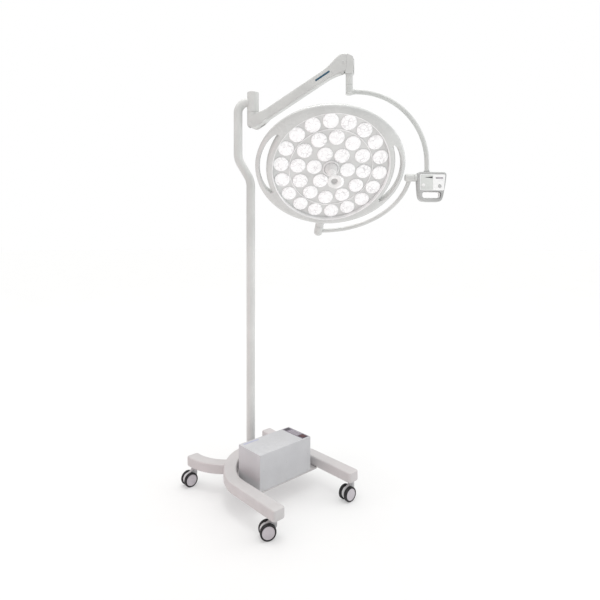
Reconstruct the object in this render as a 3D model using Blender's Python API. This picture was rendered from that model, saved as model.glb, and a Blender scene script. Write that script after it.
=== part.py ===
"""Mobile surgical light: castored base with a power box, cranked pole, sprung arm,
two-arc yoke with a control panel, and a round multi-lens head with grip loops.

Metres, +Z up. The floor is z = 0 and the whole light is centred over the origin. It is drawn in a
working frame centred on the base, with the floor at z = FLOOR, and SHIFT carries it over.
"""

import math

import bmesh
import bpy
from mathutils import Matrix, Vector

# ---------------------------------------------------------------- dimensions
GAP = 0.0003                # clearance between neighbouring pieces
FLOOR = 0.010               # floor height in the working frame
SHIFT = Vector((-0.1768, 0.1154, -FLOOR))   # working frame to the row origin

BEAM_W, BEAM_H, BEAM_Z = 0.060, 0.046, 0.100    # base beam section, underside height
LEG_X = 0.217               # leg centre lines either side of the base centre line
FRONT_END, REAR_ARC_Y = -0.330, 0.304
REAR_ARC_R = 0.226
ARCH_APEX = 0.190           # centre line of the front arch at its apex

WHEEL_R, WHEEL_W, WHEEL_IN = 0.033, 0.017, 0.0072   # tyre radius, width, inner face
TRAIL = 0.026               # caster stem ahead of its axle
PIN_R = 0.005               # caster stem above its collar

BOX_X, BOX_Y, BOX_Z = (-0.1490, 0.1510), (-0.118, 0.039), (0.1000, 0.2580)
BOX_WALL, BOX_TOP = 0.003, 0.006

POLE_Y, POLE_R, POLE_BORE = 0.148, 0.021, 0.0178
POLE_BOTTOM = 0.1467
CRANK, CRANK_LOW, CRANK_HIGH = 0.062, 1.470, 1.575
ELBOW_Z, ELBOW_R = 1.854, 0.052
POLE_AZ = math.radians(137.5)       # the crank leans this way

SLEEVE_OFF, SLEEVE_R = 0.011, 0.0285
SLEEVE_Z0, SLEEVE_Z1 = 1.8018, 1.9014
SPINDLE_R = 0.011

ARM_AZ = math.radians(-57.7)        # direction of the arm from the sleeve
ARM_REACH = 0.4751                  # sleeve axis to drop tube axis
ARM_B = (0.010, 1.7515)             # lower pivot: out along the arm, height
ARM_T = (0.449, 2.000)              # upper pivot
BEAM_HALF, ARM_WIDTH, ARM_WALL = 0.0255, 0.036, 0.004
FORK_R, TONGUE_W = 0.043, 0.026
DROP_R, DROP_Z = 0.0165, 1.8950

YOKE_AZ = math.radians(-37.3)       # plane of the outer yoke
YOKE_TUBE_R = 0.0110
YOKE_TOP, YOKE_BEND, YOKE_BEND_P = 1.8669, 0.3245, 0.045
YOKE_HUB_Z = 1.8534
PITCH_Z, PITCH_BACK = 1.4715, -0.0967       # pitch axis height; arc centre along the yoke
BOSS_R = 0.0178
INNER_A, INNER_B = 0.383, 0.304             # inner yoke quarter ellipse
INNER_TUBE_R = 0.0100
PANEL_P, PANEL_DEPTH = 0.3905, 0.036

HEAD_OFF = 0.0518           # pitch axis to head centre, along the stub axis
HEAD_TILT = math.radians(36.5)
HEAD_ROLL = math.radians(4.5)
HEAD_RU, HEAD_RV = 0.342, 0.299     # oval outline of ring and grip loops
FACE_R, RING_R = 0.2640, 0.2925     # lens opening, inner edge of the grip slots
LOOP_W, SLOT_HALF = 0.021, math.radians(29)
STUB_R = 0.0205
LENS_RINGS = ((18, 0.2273, 10.0), (12, 0.1515, 0.0), (6, 0.0768, 30.0))
LENS_R = 0.0358

# ---------------------------------------------------------------- scene reset
for old in list(bpy.data.objects):
    bpy.data.objects.remove(old, do_unlink=True)


# ---------------------------------------------------------------- helpers
def material(name, colour, roughness, metallic=0.0):
    mat = bpy.data.materials.new(name)
    mat.use_nodes = True
    shader = mat.node_tree.nodes["Principled BSDF"]
    shader.inputs["Base Color"].default_value = (*colour, 1.0)
    shader.inputs["Roughness"].default_value = roughness
    shader.inputs["Metallic"].default_value = metallic
    return mat


PAINT = material("warm_grey_paint", (0.60, 0.60, 0.58), 0.38)
BASE_PAINT = material("off_white_paint", (0.66, 0.64, 0.63), 0.42)
CASE_PAINT = material("case_grey_paint", (0.55, 0.55, 0.57), 0.45)
DARK = material("dark_plastic", (0.06, 0.05, 0.07), 0.35)
RED = material("rocker_red", (0.35, 0.05, 0.06), 0.35)
STEEL = material("steel", (0.62, 0.62, 0.62), 0.28, 1.0)
BRONZE = material("bush_bronze", (0.50, 0.38, 0.20), 0.35, 1.0)
TYRE = material("tyre_black", (0.015, 0.015, 0.017), 0.55)
HUB = material("hub_grey", (0.60, 0.60, 0.62), 0.40)
LENS = material("lens_white", (0.93, 0.93, 0.93), 0.12)
BOARD = material("board_white", (0.70, 0.72, 0.70), 0.50)
PANEL = material("panel_white", (0.85, 0.86, 0.86), 0.35)
BUTTON = material("button_grey", (0.70, 0.70, 0.68), 0.40)
HANDLE = material("handle_grey", (0.68, 0.68, 0.66), 0.35)


def frame(origin, x_dir, y_dir, z_dir):
    """Matrix whose columns are the given axes, with the given origin."""
    m = Matrix.Identity(4)
    for i, axis in enumerate((x_dir, y_dir, z_dir)):
        for j in range(3):
            m[j][i] = axis[j]
    m.translation = origin
    return m


def polar(az):
    return Vector((math.cos(az), math.sin(az), 0.0))


def place(name, bm, mat, matrix=Matrix.Identity(4), origin=None, sharp=35.0):
    """Make one object from a closed bmesh given in the local frame `matrix`."""
    origin = matrix.translation.copy() if origin is None else origin
    bmesh.ops.transform(bm, matrix=matrix, verts=bm.verts)
    bmesh.ops.translate(bm, vec=-origin, verts=bm.verts)
    bmesh.ops.recalc_face_normals(bm, faces=bm.faces)
    mesh = bpy.data.meshes.new(name)
    bm.to_mesh(mesh)
    bm.free()
    mesh.shade_smooth()
    mesh.set_sharp_from_angle(angle=math.radians(sharp))
    mesh.materials.append(mat)
    ob = bpy.data.objects.new(name, mesh)
    ob.location = origin + SHIFT
    bpy.context.scene.collection.objects.link(ob)
    return ob


def loft(rings, closed=False):
    """Join rings of points (equal counts) into a closed body with n-gon caps."""
    bm = bmesh.new()
    loops = [[bm.verts.new(p) for p in ring] for ring in rings]
    pairs = list(zip(loops, loops[1:]))
    if closed:
        pairs.append((loops[-1], loops[0]))
    for low, high in pairs:
        for i in range(len(low)):
            j = (i + 1) % len(low)
            bm.faces.new((low[i], low[j], high[j], high[i]))
    if not closed:
        bm.faces.new(loops[0])
        bm.faces.new(loops[-1][::-1])
    return bm


def lathe(profile, steps, closed=False):
    """Turn (radius, height) points about local Z; open profiles begin and end at r = 0."""
    bm = bmesh.new()
    columns = []
    ends = {}
    for k in range(steps):
        a = 2 * math.pi * k / steps
        column = []
        for i, (r, z) in enumerate(profile):
            if r < 1e-7:
                if i not in ends:
                    ends[i] = bm.verts.new((0, 0, z))
                column.append(ends[i])
            else:
                column.append(bm.verts.new((r * math.cos(a), r * math.sin(a), z)))
        columns.append(column)
    count = len(profile)
    for k in range(steps):
        a, b = columns[k], columns[(k + 1) % steps]
        for i in range(count if closed else count - 1):
            j = (i + 1) % count
            corners = []
            for v in (a[i], b[i], b[j], a[j]):
                if v not in corners:
                    corners.append(v)
            if len(corners) > 2:
                bm.faces.new(corners)
    return bm


def prism(outline, low, high):
    """Extrude a closed (x, y) outline from z = low to z = high."""
    return loft([[(x, y, z) for x, y in outline] for z in (low, high)])


def block(x, y, z):
    return prism([(x[0], y[0]), (x[1], y[0]), (x[1], y[1]), (x[0], y[1])], z[0], z[1])


def rounded(width, height, radius, steps=3, cx=0.0, cy=0.0):
    """Rounded rectangle outline, counter-clockwise."""
    points = []
    for sx, sy, start in ((1, -1, -90), (1, 1, 0), (-1, 1, 90), (-1, -1, 180)):
        for k in range(steps + 1):
            a = math.radians(start + 90 * k / steps)
            points.append((cx + sx * (width / 2 - radius) + radius * math.cos(a),
                           cy + sy * (height / 2 - radius) + radius * math.sin(a)))
    return points


def circle(radius, steps, cx=0.0, cy=0.0):
    return [(cx + radius * math.cos(2 * math.pi * k / steps),
             cy + radius * math.sin(2 * math.pi * k / steps)) for k in range(steps)]


def sweep(path, section, side, taper=None):
    """Carry a section along a planar path; section x runs along the plane's normal `side`."""
    rings = []
    for i, p in enumerate(path):
        before = path[max(i - 1, 0)]
        after = path[min(i + 1, len(path) - 1)]
        if 0 < i < len(path) - 1:
            tangent = (p - before).normalized() + (after - p).normalized()
        else:
            tangent = after - before
        other = tangent.normalized().cross(side).normalized()
        k = 1.0 if taper is None else taper[i]
        rings.append([p + side * (x * k) + other * (y * k) for x, y in section])
    return loft(rings)


def fillet_path(corners, radii, steps):
    """Polyline through 2-D corners with its inner corners rounded."""
    points = [Vector(corners[0])]
    for i in range(1, len(corners) - 1):
        a, b, c = (Vector(corners[j]) for j in (i - 1, i, i + 1))
        u, v = (a - b).normalized(), (c - b).normalized()
        half = math.acos(max(-1, min(1, u.dot(v)))) / 2
        reach = radii[i - 1] / math.tan(half)
        centre = b + (u + v).normalized() * (radii[i - 1] / math.sin(half))
        start, stop = b + u * reach - centre, b + v * reach - centre
        sweep_angle = start.angle_signed(stop)
        for k in range(steps + 1):
            points.append(centre + rotate2(start, -sweep_angle * k / steps))
    points.append(Vector(corners[-1]))
    return points


def rotate2(v, a):
    return Vector((v.x * math.cos(a) - v.y * math.sin(a), v.x * math.sin(a) + v.y * math.cos(a)))


def bevel(ob, width, segments=2, angle=40.0):
    mod = ob.modifiers.new("bevel", "BEVEL")
    mod.width = width
    mod.segments = segments
    mod.limit_method = "ANGLE"
    mod.angle_limit = math.radians(angle)
    return ob


def boolean(ob, tool, operation="DIFFERENCE"):
    tool.hide_render = True
    tool.display_type = "WIRE"
    mod = ob.modifiers.new(operation.lower(), "BOOLEAN")
    mod.operation = operation
    mod.solver = "EXACT"
    mod.object = tool
    return ob


def rod(radius, low, high, steps=16, chamfer=0.0):
    if chamfer:
        return lathe([(0, low), (radius - chamfer, low), (radius, low + chamfer),
                      (radius, high - chamfer), (radius - chamfer, high), (0, high)], steps)
    return lathe([(0, low), (radius, low), (radius, high), (0, high)], steps)


X, Y, Z = Vector((1, 0, 0)), Vector((0, 1, 0)), Vector((0, 0, 1))
O = Vector((0, 0, 0))

# ---------------------------------------------------------------- casters
# stem position, direction of the axle (degrees from +X)
CASTERS = {
    "front_left": (Vector((-0.206, -0.281, 0)), 62.7),
    "front_right": (Vector((0.2341, -0.2984, 0)), 87.0),
    "rear_left": (Vector((-0.2255, 0.2965, 0)), 89.0),
    "rear_right": (Vector((0.2260, 0.2965, 0)), 88.0),
}
HOOD_TOP = 0.088


def caster(tag, stem, axle_deg):
    axle = polar(math.radians(axle_deg))
    lead = polar(math.radians(axle_deg - 90))      # from the axle towards the stem
    centre = stem - lead * TRAIL + Z * (FLOOR + WHEEL_R)
    side = frame(centre, lead, Z, -axle)           # local X lead, Y up, Z along the axle

    # swivelling hood: round web between the wheels, neck up to the stem
    outline = [(0.0265 * math.cos(a), 0.0265 * math.sin(a))
               for a in (math.radians(d) for d in range(95, 366, 30))]
    top = HOOD_TOP - FLOOR - WHEEL_R
    outline += [(TRAIL + 0.010, 0.008), (TRAIL + 0.013, 0.026), (TRAIL + 0.013, top), (TRAIL - 0.013, top),
                (0.007, 0.034)]
    hood = place(f"caster_{tag}_hood", prism(outline, -0.0065, 0.0065), HUB, side,
                 origin=Vector((stem.x, stem.y, centre.z)))
    up = frame(Vector((stem.x, stem.y, 0)), X, Y, Z)
    stem_tool = place(f"tool_stem_{tag}", lathe(
        [(0, 0.0780), (0.0110, 0.0780), (0.0125, 0.0795), (0.0125, 0.0955), (PIN_R, 0.0965),
         (PIN_R, 0.126), (0, 0.126)], 14), HUB, up)
    boolean(hood, stem_tool, "UNION")
    bore = place(f"tool_axle_{tag}", rod(0.0043, -0.02, 0.02, 12), HUB, side)
    boolean(hood, bore)

    outer = WHEEL_IN + WHEEL_W
    place(f"caster_{tag}_axle", rod(0.0040, -outer + 0.001, outer - 0.001, 12), STEEL, side)
    for word, sign in (("inner", 1), ("outer", -1)):
        face = frame(centre, lead * sign, Z, axle * -sign)
        place(f"caster_{tag}_tyre_{word}", lathe(
            [(0.0258, WHEEL_IN + 0.001), (0.0308, WHEEL_IN), (WHEEL_R, WHEEL_IN + 0.0035),
             (WHEEL_R, outer - 0.0035), (0.0308, outer), (0.0258, outer - 0.001)],
            24, closed=True), TYRE, face)
        place(f"caster_{tag}_hub_{word}", lathe(
            [(0.0043, WHEEL_IN + 0.0005), (0.0255, WHEEL_IN + 0.0015), (0.0255, outer - 0.0015),
             (0.0190, outer - 0.0005), (0.0043, outer - 0.0005)],
            16, closed=True), HUB, face)
    return up


stems = {tag: caster(tag, *spec) for tag, spec in CASTERS.items()}


# ---------------------------------------------------------------- base
def arch_path(start_y):
    """Centre line of the front arch: straight legs joined by a rounded apex."""
    half = [Vector((-LEG_X, start_y + k, 0)) for k in (0.0, 0.003, 0.010)]
    p = [Vector(q) for q in ((-LEG_X, -0.050, 0), (-LEG_X, 0.050, 0), (-0.100, ARCH_APEX, 0), (0, ARCH_APEX, 0))]
    for k in range(10):
        t = k / 9
        half.append(p[0] * (1 - t) ** 3 + p[1] * 3 * t * (1 - t) ** 2
                    + p[2] * 3 * t * t * (1 - t) + p[3] * t ** 3)
    mirror = [Vector((-q.x, q.y, 0)) for q in half[-2::-1]]
    return [q + Z * (BEAM_Z + BEAM_H / 2) for q in half + mirror]


def end_taper(count, both=True):
    k = [1.0] * count
    k[0], k[1] = 0.86, 0.96
    if both:
        k[-1], k[-2] = 0.86, 0.96
    return k


section = rounded(BEAM_H, BEAM_W, 0.009, 2)
path = arch_path(FRONT_END)
arch = place("base_arch_front", sweep(path, section, Z, end_taper(len(path))), BASE_PAINT, origin=O)
wide = rounded(BEAM_H + 2 * GAP, BEAM_W + 2 * GAP, 0.009 + GAP, 2)
arch_tool = place("tool_arch", sweep(path, wide, Z), BASE_PAINT, origin=O)

for tag, sign in (("left", -1), ("right", 1)):
    leg = [Vector((sign * REAR_ARC_R, REAR_ARC_Y + k, 0)) for k in (0.012, 0.009, 0.002)]
    for k in range(1, 40):
        a = math.radians(180 + 6 * k)
        q = Vector((-sign * REAR_ARC_R * math.cos(a), REAR_ARC_Y + REAR_ARC_R * math.sin(a), 0))
        leg.append(q)
        if min((q - Vector((c.x, c.y, 0))).length for c in path) < 0.022:
            break
    leg = [q + Z * (BEAM_Z + BEAM_H / 2) for q in leg]
    rear = place(f"base_leg_rear_{tag}", sweep(leg, section, Z, end_taper(len(leg), False)),
                 BASE_PAINT, origin=O)
    boolean(rear, arch_tool)
    tool = place(f"tool_bore_rear_{tag}", rod(0.0054, 0.08, 0.129, 14), BASE_PAINT, stems[f"rear_{tag}"])
    boolean(rear, tool)
    tool = place(f"tool_bore_front_{tag}", rod(0.0054, 0.08, 0.129, 14), BASE_PAINT, stems[f"front_{tag}"])
    boolean(arch, tool)

hub = place("base_hub_block", block((-0.074, 0.074), (0.074, 0.176), (BEAM_Z + 0.001, BEAM_Z + BEAM_H)),
            BASE_PAINT, origin=O)
bevel(hub, 0.004)
boolean(hub, arch_tool)

plate_outline = [(-0.196, -0.118), (0.196, -0.118), (0.196, -0.010), (0.100, 0.150), (0.060, 0.185),
                 (-0.060, 0.185), (-0.100, 0.150), (-0.196, -0.010)]
plate = place("base_plate", prism(plate_outline, BEAM_Z - 0.0065, BEAM_Z - GAP), BASE_PAINT, origin=O)
bevel(plate, 0.0015, 1)

# ---------------------------------------------------------------- power box
box = place("box_case", block(BOX_X, BOX_Y, (BOX_Z[0] - 0.02, BOX_Z[1])), CASE_PAINT, origin=O)
bevel(box, 0.006, 2)
boolean(box, place("tool_box_foot", block((-0.2, 0.2), (-0.2, 0.1), (BOX_Z[0] - 0.05, BOX_Z[0])),
                   CASE_PAINT, origin=O))
boolean(box, place("tool_box_inside", block(
    (BOX_X[0] + BOX_WALL, BOX_X[1] - BOX_WALL), (BOX_Y[0] + BOX_WALL, BOX_Y[1] - BOX_WALL),
    (BOX_Z[0] - 0.01, BOX_Z[1] - BOX_TOP)), CASE_PAINT, origin=O))
STATUS_X, STATUS_Y = (0.1040, 0.1450), (-0.1115, 0.0325)
boolean(box, place("tool_status_recess", block(
    (STATUS_X[0] - GAP, STATUS_X[1] + GAP), (STATUS_Y[0] - GAP, STATUS_Y[1] + GAP),
    (BOX_Z[1] - 0.003, BOX_Z[1] + 0.01)), CASE_PAINT, origin=O))
rocker_x, rocker_y = (0.1130, 0.1360), (-0.1060, -0.0780)
rocker_hole = place("tool_rocker", block(
    (rocker_x[0] - 0.001, rocker_x[1] + 0.001), (rocker_y[0] - 0.0012, rocker_y[1] + 0.0012),
    (BOX_Z[1] - 0.012, BOX_Z[1] + 0.012)), CASE_PAINT, origin=O)
boolean(box, rocker_hole)
status = place("status_panel", block(STATUS_X, STATUS_Y, (BOX_Z[1] - 0.003 + GAP, BOX_Z[1] + 0.0006)),
               DARK, origin=O)
boolean(status, rocker_hole)

mid_y = (rocker_y[0] + rocker_y[1]) / 2
rocker_axis = Vector((0.1245, mid_y, BOX_Z[1] - 0.004))
reach = (rocker_y[1] - rocker_y[0]) / 2
rocker_outline = [(-reach, -0.002), (-0.006, -0.006), (0.006, -0.006), (reach, -0.002),
                  (reach, 0.0075), (0.0, 0.0058), (-reach, 0.0075)]
rocker = place("power_rocker", prism(rocker_outline, -0.0115, 0.0115), RED,
               frame(rocker_axis, Y, Z, X))
bevel(rocker, 0.0008, 1)

place("battery_pack", block((-0.135, 0.075), (-0.108, 0.025), (0.1000, 0.190)), DARK, origin=O)

inlet_x, inlet_z = 0.115, 0.150
inlet_hole = place("tool_inlet", block((inlet_x - 0.0140, inlet_x + 0.0140),
                                       (BOX_Y[1] - 0.02, BOX_Y[1] + 0.02),
                                       (inlet_z - 0.0102, inlet_z + 0.0102)), DARK, origin=O)
boolean(box, inlet_hole)
inlet = place("mains_inlet", block((inlet_x - 0.0137, inlet_x + 0.0137),
                                   (BOX_Y[1] - 0.020, BOX_Y[1] + 0.002),
                                   (inlet_z - 0.0099, inlet_z + 0.0099)), DARK, origin=O)
boolean(inlet, place("tool_inlet_flange", block((inlet_x - 0.022, inlet_x + 0.022),
                                                (BOX_Y[1] + GAP, BOX_Y[1] + 0.0032),
                                                (inlet_z - 0.0135, inlet_z + 0.0135)), DARK, origin=O), "UNION")
boolean(inlet, place("tool_inlet_socket", block((inlet_x - 0.0115, inlet_x + 0.0115),
                                                (BOX_Y[1] - 0.0165, BOX_Y[1] + 0.02),
                                                (inlet_z - 0.0078, inlet_z + 0.0078)), DARK, origin=O))

# ---------------------------------------------------------------- pole and sleeve
pole_base = Vector((0, POLE_Y, 0))
lean = polar(POLE_AZ)
foot = place("pole_foot", lathe(
    [(POLE_R + GAP, 0.0002), (0.044, 0.0002), (0.044, 0.0050), (0.0425, 0.0065), (0.0300, 0.0075),
     (0.0285, 0.0200), (0.0270, 0.0215), (POLE_R + GAP, 0.0215)], 28, closed=True),
    BASE_PAINT, frame(pole_base + Z * 0.1462, X, Y, Z))
corners = [(0, POLE_BOTTOM), (0, CRANK_LOW), (CRANK, CRANK_HIGH), (CRANK, ELBOW_Z), (0.004, ELBOW_Z)]
flat = fillet_path(corners, (0.10, 0.10, ELBOW_R), 6)
pole_path = [pole_base + lean * q.x + Z * q.y for q in flat]
side = lean.cross(Z).normalized()
pole = place("pole_tube", sweep(pole_path, circle(POLE_R, 20), side), PAINT, origin=pole_base)
boolean(pole, place("tool_pole_bore", rod(POLE_BORE, 0.10, 1.430, 16), PAINT, frame(pole_base, X, Y, Z)))

sleeve_base = pole_base - lean * SLEEVE_OFF
sleeve_frame = frame(sleeve_base, X, Y, Z)
boolean(pole, place("tool_sleeve", rod(SLEEVE_R + GAP, SLEEVE_Z0 - 0.01, SLEEVE_Z1 + 0.01, 28), PAINT,
                    sleeve_frame))
place("pole_sleeve", lathe(
    [(0, SLEEVE_Z1), (SLEEVE_R - 0.004, SLEEVE_Z1), (SLEEVE_R - 0.001, SLEEVE_Z1 - 0.001),
     (SLEEVE_R, SLEEVE_Z1 - 0.004), (SLEEVE_R, SLEEVE_Z0 + 0.001), (SLEEVE_R - 0.001, SLEEVE_Z0),
     (0.0165, SLEEVE_Z0), (0.0165, 1.8920), (0, 1.8920)], 28), PAINT, sleeve_frame)
place("sleeve_bush", lathe([(0.01135, z) for z in (1.8028, 1.8500)] + [(0.0162, z) for z in (1.8500, 1.8028)],
                           20, closed=True), BRONZE, sleeve_frame)

# ---------------------------------------------------------------- spring arm
out = polar(ARM_AZ)
across = out.cross(Z)                       # sideways, towards the light's face
arm_frame = frame(sleeve_base, out, Z, across)


def arm_point(r, z):
    return sleeve_base + out * r + Z * z


pivot_b, pivot_t = arm_point(*ARM_B), arm_point(*ARM_T)
knuckle = place("arm_base_knuckle", lathe(
    [(0, 1.8880), (SPINDLE_R - 0.001, 1.8880), (SPINDLE_R, 1.8870), (SPINDLE_R, SLEEVE_Z0 - GAP),
     (SLEEVE_R - 0.001, SLEEVE_Z0 - GAP), (SLEEVE_R, SLEEVE_Z0 - 0.0015), (SLEEVE_R, 1.7460),
     (0.0262, 1.7370), (0.0200, 1.7310), (0, 1.7270)], 28), PAINT, sleeve_frame,
    origin=arm_point(0, ARM_B[1]))
boolean(knuckle, place("tool_knuckle_boss", rod(0.0265, -SLEEVE_R, SLEEVE_R, 24, 0.002), PAINT,
                       frame(pivot_b, out, Z, across)), "UNION")
boolean(knuckle, place("tool_knuckle_slot", prism(
    [(-0.0172, 1.700), (0.05, 1.700), (0.05, 1.7975), (-0.0172, 1.7870)],
    -ARM_WIDTH / 2 - 0.0005, ARM_WIDTH / 2 + 0.0005), PAINT, arm_frame, origin=O))
pin_b = frame(pivot_b, out, Z, across)
pin_t = frame(pivot_t, out, Z, across)
boolean(knuckle, place("tool_pin_b", rod(0.0053, -0.04, 0.04, 16), PAINT, pin_b))

along = (pivot_t - pivot_b).normalized()
length = (pivot_t - pivot_b).length
above = across.cross(along)
beam_frame = frame(pivot_b, along, above, across)


def beam_outline(inset):
    """Side view of the beam: round lower end, straight run, flared round upper end."""
    h, f = BEAM_HALF - inset, FORK_R - inset
    points = [(h * math.cos(math.radians(a)), h * math.sin(math.radians(a))) for a in range(90, 271, 15)]
    points += [(length - 0.110, -h), (length - 0.060, -h - 0.005), (length - 0.030, -h - 0.0125)]
    points += [(length + f * math.cos(math.radians(a)), f * math.sin(math.radians(a)))
               for a in range(-90, 91, 15)]
    points += [(length - 0.020, h + 0.0145), (length - 0.045, h + 0.0080), (length - 0.070, h + 0.0022),
               (length - 0.095, h)]
    return points


beam = place("arm_beam", prism(beam_outline(0.0), -ARM_WIDTH / 2, ARM_WIDTH / 2), PAINT, beam_frame)
bevel(beam, 0.0035, 2, 60.0)
boolean(beam, place("tool_beam_channel", prism(
    [(0.020, -0.0215), (length - 0.02, -0.0215), (length - 0.02, 0.0215), (0.020, 0.0215)],
    -ARM_WIDTH / 2 + ARM_WALL, ARM_WIDTH / 2 - ARM_WALL), PAINT, beam_frame))
boolean(beam, place("tool_beam_fork", prism(
    [(length - 0.034, -0.07), (length + 0.07, -0.07), (length + 0.07, 0.07), (length - 0.034, 0.07)],
    -TONGUE_W / 2 - GAP, TONGUE_W / 2 + GAP), PAINT, beam_frame))
boolean(beam, place("tool_pin_b_beam", rod(0.0053, -0.04, 0.04, 16), PAINT, pin_b))
boolean(beam, place("tool_pin_t_beam", rod(0.0053, -0.04, 0.04, 16), PAINT, pin_t))

place("arm_pin_base", rod(0.0050, -0.0262, 0.0262, 16, 0.0006), STEEL, pin_b)
place("arm_pin_tip", rod(0.0050, -0.0186, 0.0186, 16, 0.0006), STEEL, pin_t)
spring_frame = frame(pivot_b + above * -0.008, above, across, along)
place("arm_spring_cartridge", lathe(
    [(0, 0.040), (0.0115, 0.040), (0.0115, 0.260), (0.0095, 0.264), (0.0045, 0.264), (0.0045, 0.400),
     (0, 0.400)], 14), STEEL, spring_frame)
place("arm_tie_rod", rod(0.0040, 0.035, length - 0.060, 10), STEEL,
      frame(pivot_b + above * 0.0145, above, across, along))

# tongue inside the fork and the drop tube under it, one welded piece
tongue = [(-0.006, 0.0360), (0.002, 0.0405), (0.046, 0.0144), (0.0450, -0.010), (0.0425, -0.036),
          (0.0425, -0.056), (0.0097, -0.056), (0.0070, -0.040), (-0.0120, -0.0165), (-0.0190, -0.002),
          (-0.0165, 0.012)]
tip = place("arm_tip_knuckle", prism(tongue[::-1], -TONGUE_W / 2, TONGUE_W / 2), PAINT, pin_t)
bevel(tip, 0.0015, 1, 60.0)
drop_frame = frame(arm_point(ARM_REACH, 0), X, Y, Z)
tip_z = ARM_T[1]
boolean(tip, place("tool_drop_tube", lathe(
    [(0, tip_z - 0.042), (0.0125, tip_z - 0.042), (DROP_R, tip_z - 0.050), (DROP_R, DROP_Z + 0.001),
     (DROP_R - 0.001, DROP_Z), (0, DROP_Z)], 24), PAINT, drop_frame), "UNION")
boolean(tip, place("tool_drop_bore", rod(0.0094, DROP_Z - 0.02, DROP_Z + 0.050, 18), PAINT, drop_frame))
boolean(tip, place("tool_pin_t_tip", rod(0.0053, -0.04, 0.04, 16), PAINT, pin_t))

# ---------------------------------------------------------------- outer yoke
yoke = polar(YOKE_AZ)
front = yoke.cross(Z)                       # horizontal, towards the light's face
drop_axis = arm_point(ARM_REACH, 0)
yoke_frame = frame(drop_axis, yoke, Z, front)


def yoke_point(p, z):
    return drop_axis + yoke * p + Z * z


yoke_hub = place("yoke_hub", lathe(
    [(0, DROP_Z + 0.045), (0.0080, DROP_Z + 0.045), (0.0090, DROP_Z + 0.044), (0.0090, DROP_Z - GAP),
     (DROP_R - 0.001, DROP_Z - GAP), (DROP_R, DROP_Z - 0.0015), (DROP_R, 1.8590), (0.0176, 1.8580),
     (0.0176, YOKE_HUB_Z + 0.0015), (0.0161, YOKE_HUB_Z), (0, YOKE_HUB_Z)], 24), PAINT, drop_frame,
    origin=drop_axis + Z * YOKE_TOP)
boss_frame = frame(yoke_point(0, YOKE_TOP), Z, front, yoke)
boolean(yoke_hub, place("tool_hub_boss", rod(0.0125, 0.004, 0.0262, 18, 0.001), PAINT, boss_frame), "UNION")

arc = [(0.0265, YOKE_TOP)]
steps = 12
for k in range(steps + 1):
    a = math.radians(90 - 90 * k / steps)
    arc.append((YOKE_BEND_P + YOKE_BEND * math.cos(a), YOKE_TOP - YOKE_BEND + YOKE_BEND * math.sin(a)))
arc.append((YOKE_BEND_P + YOKE_BEND, 1.4990))
place("yoke_outer_tube", sweep([yoke_point(p, z) for p, z in arc], circle(YOKE_TUBE_R, 12), front),
      PAINT, origin=drop_axis + Z * YOKE_TOP)

# control panel housing with its D-shaped handle
PANEL_TOP, PANEL_LOW = 1.4986, 1.3588
housing_outline = [(-0.060, PANEL_TOP), (-0.0685, 1.4930), (-0.0712, 1.4840), (-0.0712, 1.4560),
                   (-0.0690, 1.4200), (-0.0660, 1.3860), (-0.0610, 1.3700), (-0.0480, 1.3610),
                   (-0.0280, PANEL_LOW), (0.0270, PANEL_LOW), (0.0410, 1.3606), (0.0530, 1.3680),
                   (0.0595, 1.3840), (0.0665, 1.4200), (0.0705, 1.4500), (0.0712, 1.4840),
                   (0.0685, 1.4930), (0.060, PANEL_TOP)]
panel_frame = frame(yoke_point(PANEL_P, 0), yoke, Z, front)
half_d = PANEL_DEPTH / 2
housing = place("panel_housing", prism(housing_outline, -half_d, half_d), PAINT, panel_frame,
                origin=yoke_point(PANEL_P, PITCH_Z))
bevel(housing, 0.004, 2, 60.0)
boolean(housing, place("tool_grip_slot", prism(rounded(0.088, 0.030, 0.012, 4, 0.0, 1.3905), -0.05, 0.05),
                       PAINT, panel_frame))
face_w, face_h, face_x, face_z = 0.121, 0.076, 0.0030, 1.4510
boolean(housing, place("tool_face_recess", prism(
    rounded(face_w + 2 * GAP, face_h + 2 * GAP, 0.006, 2, face_x, face_z), half_d - 0.002, half_d + 0.02),
    PAINT, panel_frame))
face = place("panel_face", prism(rounded(face_w, face_h, 0.006, 2, face_x, face_z),
                                 half_d - 0.002 + GAP, half_d + 0.0004), PANEL, panel_frame,
             origin=yoke_point(PANEL_P, PITCH_Z))
for tag, bx, bz, br in (("lamp", -0.0440, 1.4365, 0.0060), ("mode", 0.0345, 1.4325, 0.0075)):
    spot = frame(panel_frame @ Vector((bx, bz, half_d)), yoke, Z, front)
    well = place(f"tool_well_{tag}", rod(br + 0.0004, -0.0075, 0.02, 16), PANEL, spot)
    boolean(housing, well)
    boolean(face, well)
    place(f"panel_button_{tag}", lathe(
        [(0, -0.0055), (br, -0.0055), (br, 0.0012), (br - 0.0012, 0.0022), (0, 0.0026)], 16),
        BUTTON, spot)

# pitch pivot: a fixed boss with its shaft on the panel, and the turning boss of the inner yoke
pitch_frame = frame(yoke_point(0, PITCH_Z), Z, front, yoke)
side_p = PANEL_P - 0.0712
place("pitch_pivot", lathe(
    [(0, 0.2720), (0.0075, 0.2720), (0.0080, 0.2730), (0.0080, 0.3038), (BOSS_R - 0.001, 0.3038),
     (BOSS_R, 0.3048), (BOSS_R, side_p - 0.0013), (BOSS_R - 0.001, side_p - GAP), (0, side_p - GAP)],
    24), PAINT, pitch_frame, origin=yoke_point(0.29, PITCH_Z))
boss = place("inner_yoke_boss", lathe(
    [(0, 0.2644), (BOSS_R - 0.002, 0.2644), (BOSS_R, 0.2664), (BOSS_R, 0.3025), (BOSS_R - 0.001, 0.3035),
     (0.0083, 0.3035), (0.0083, 0.2705), (0, 0.2705)], 24), PAINT, pitch_frame,
    origin=yoke_point(0.29, PITCH_Z))

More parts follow.
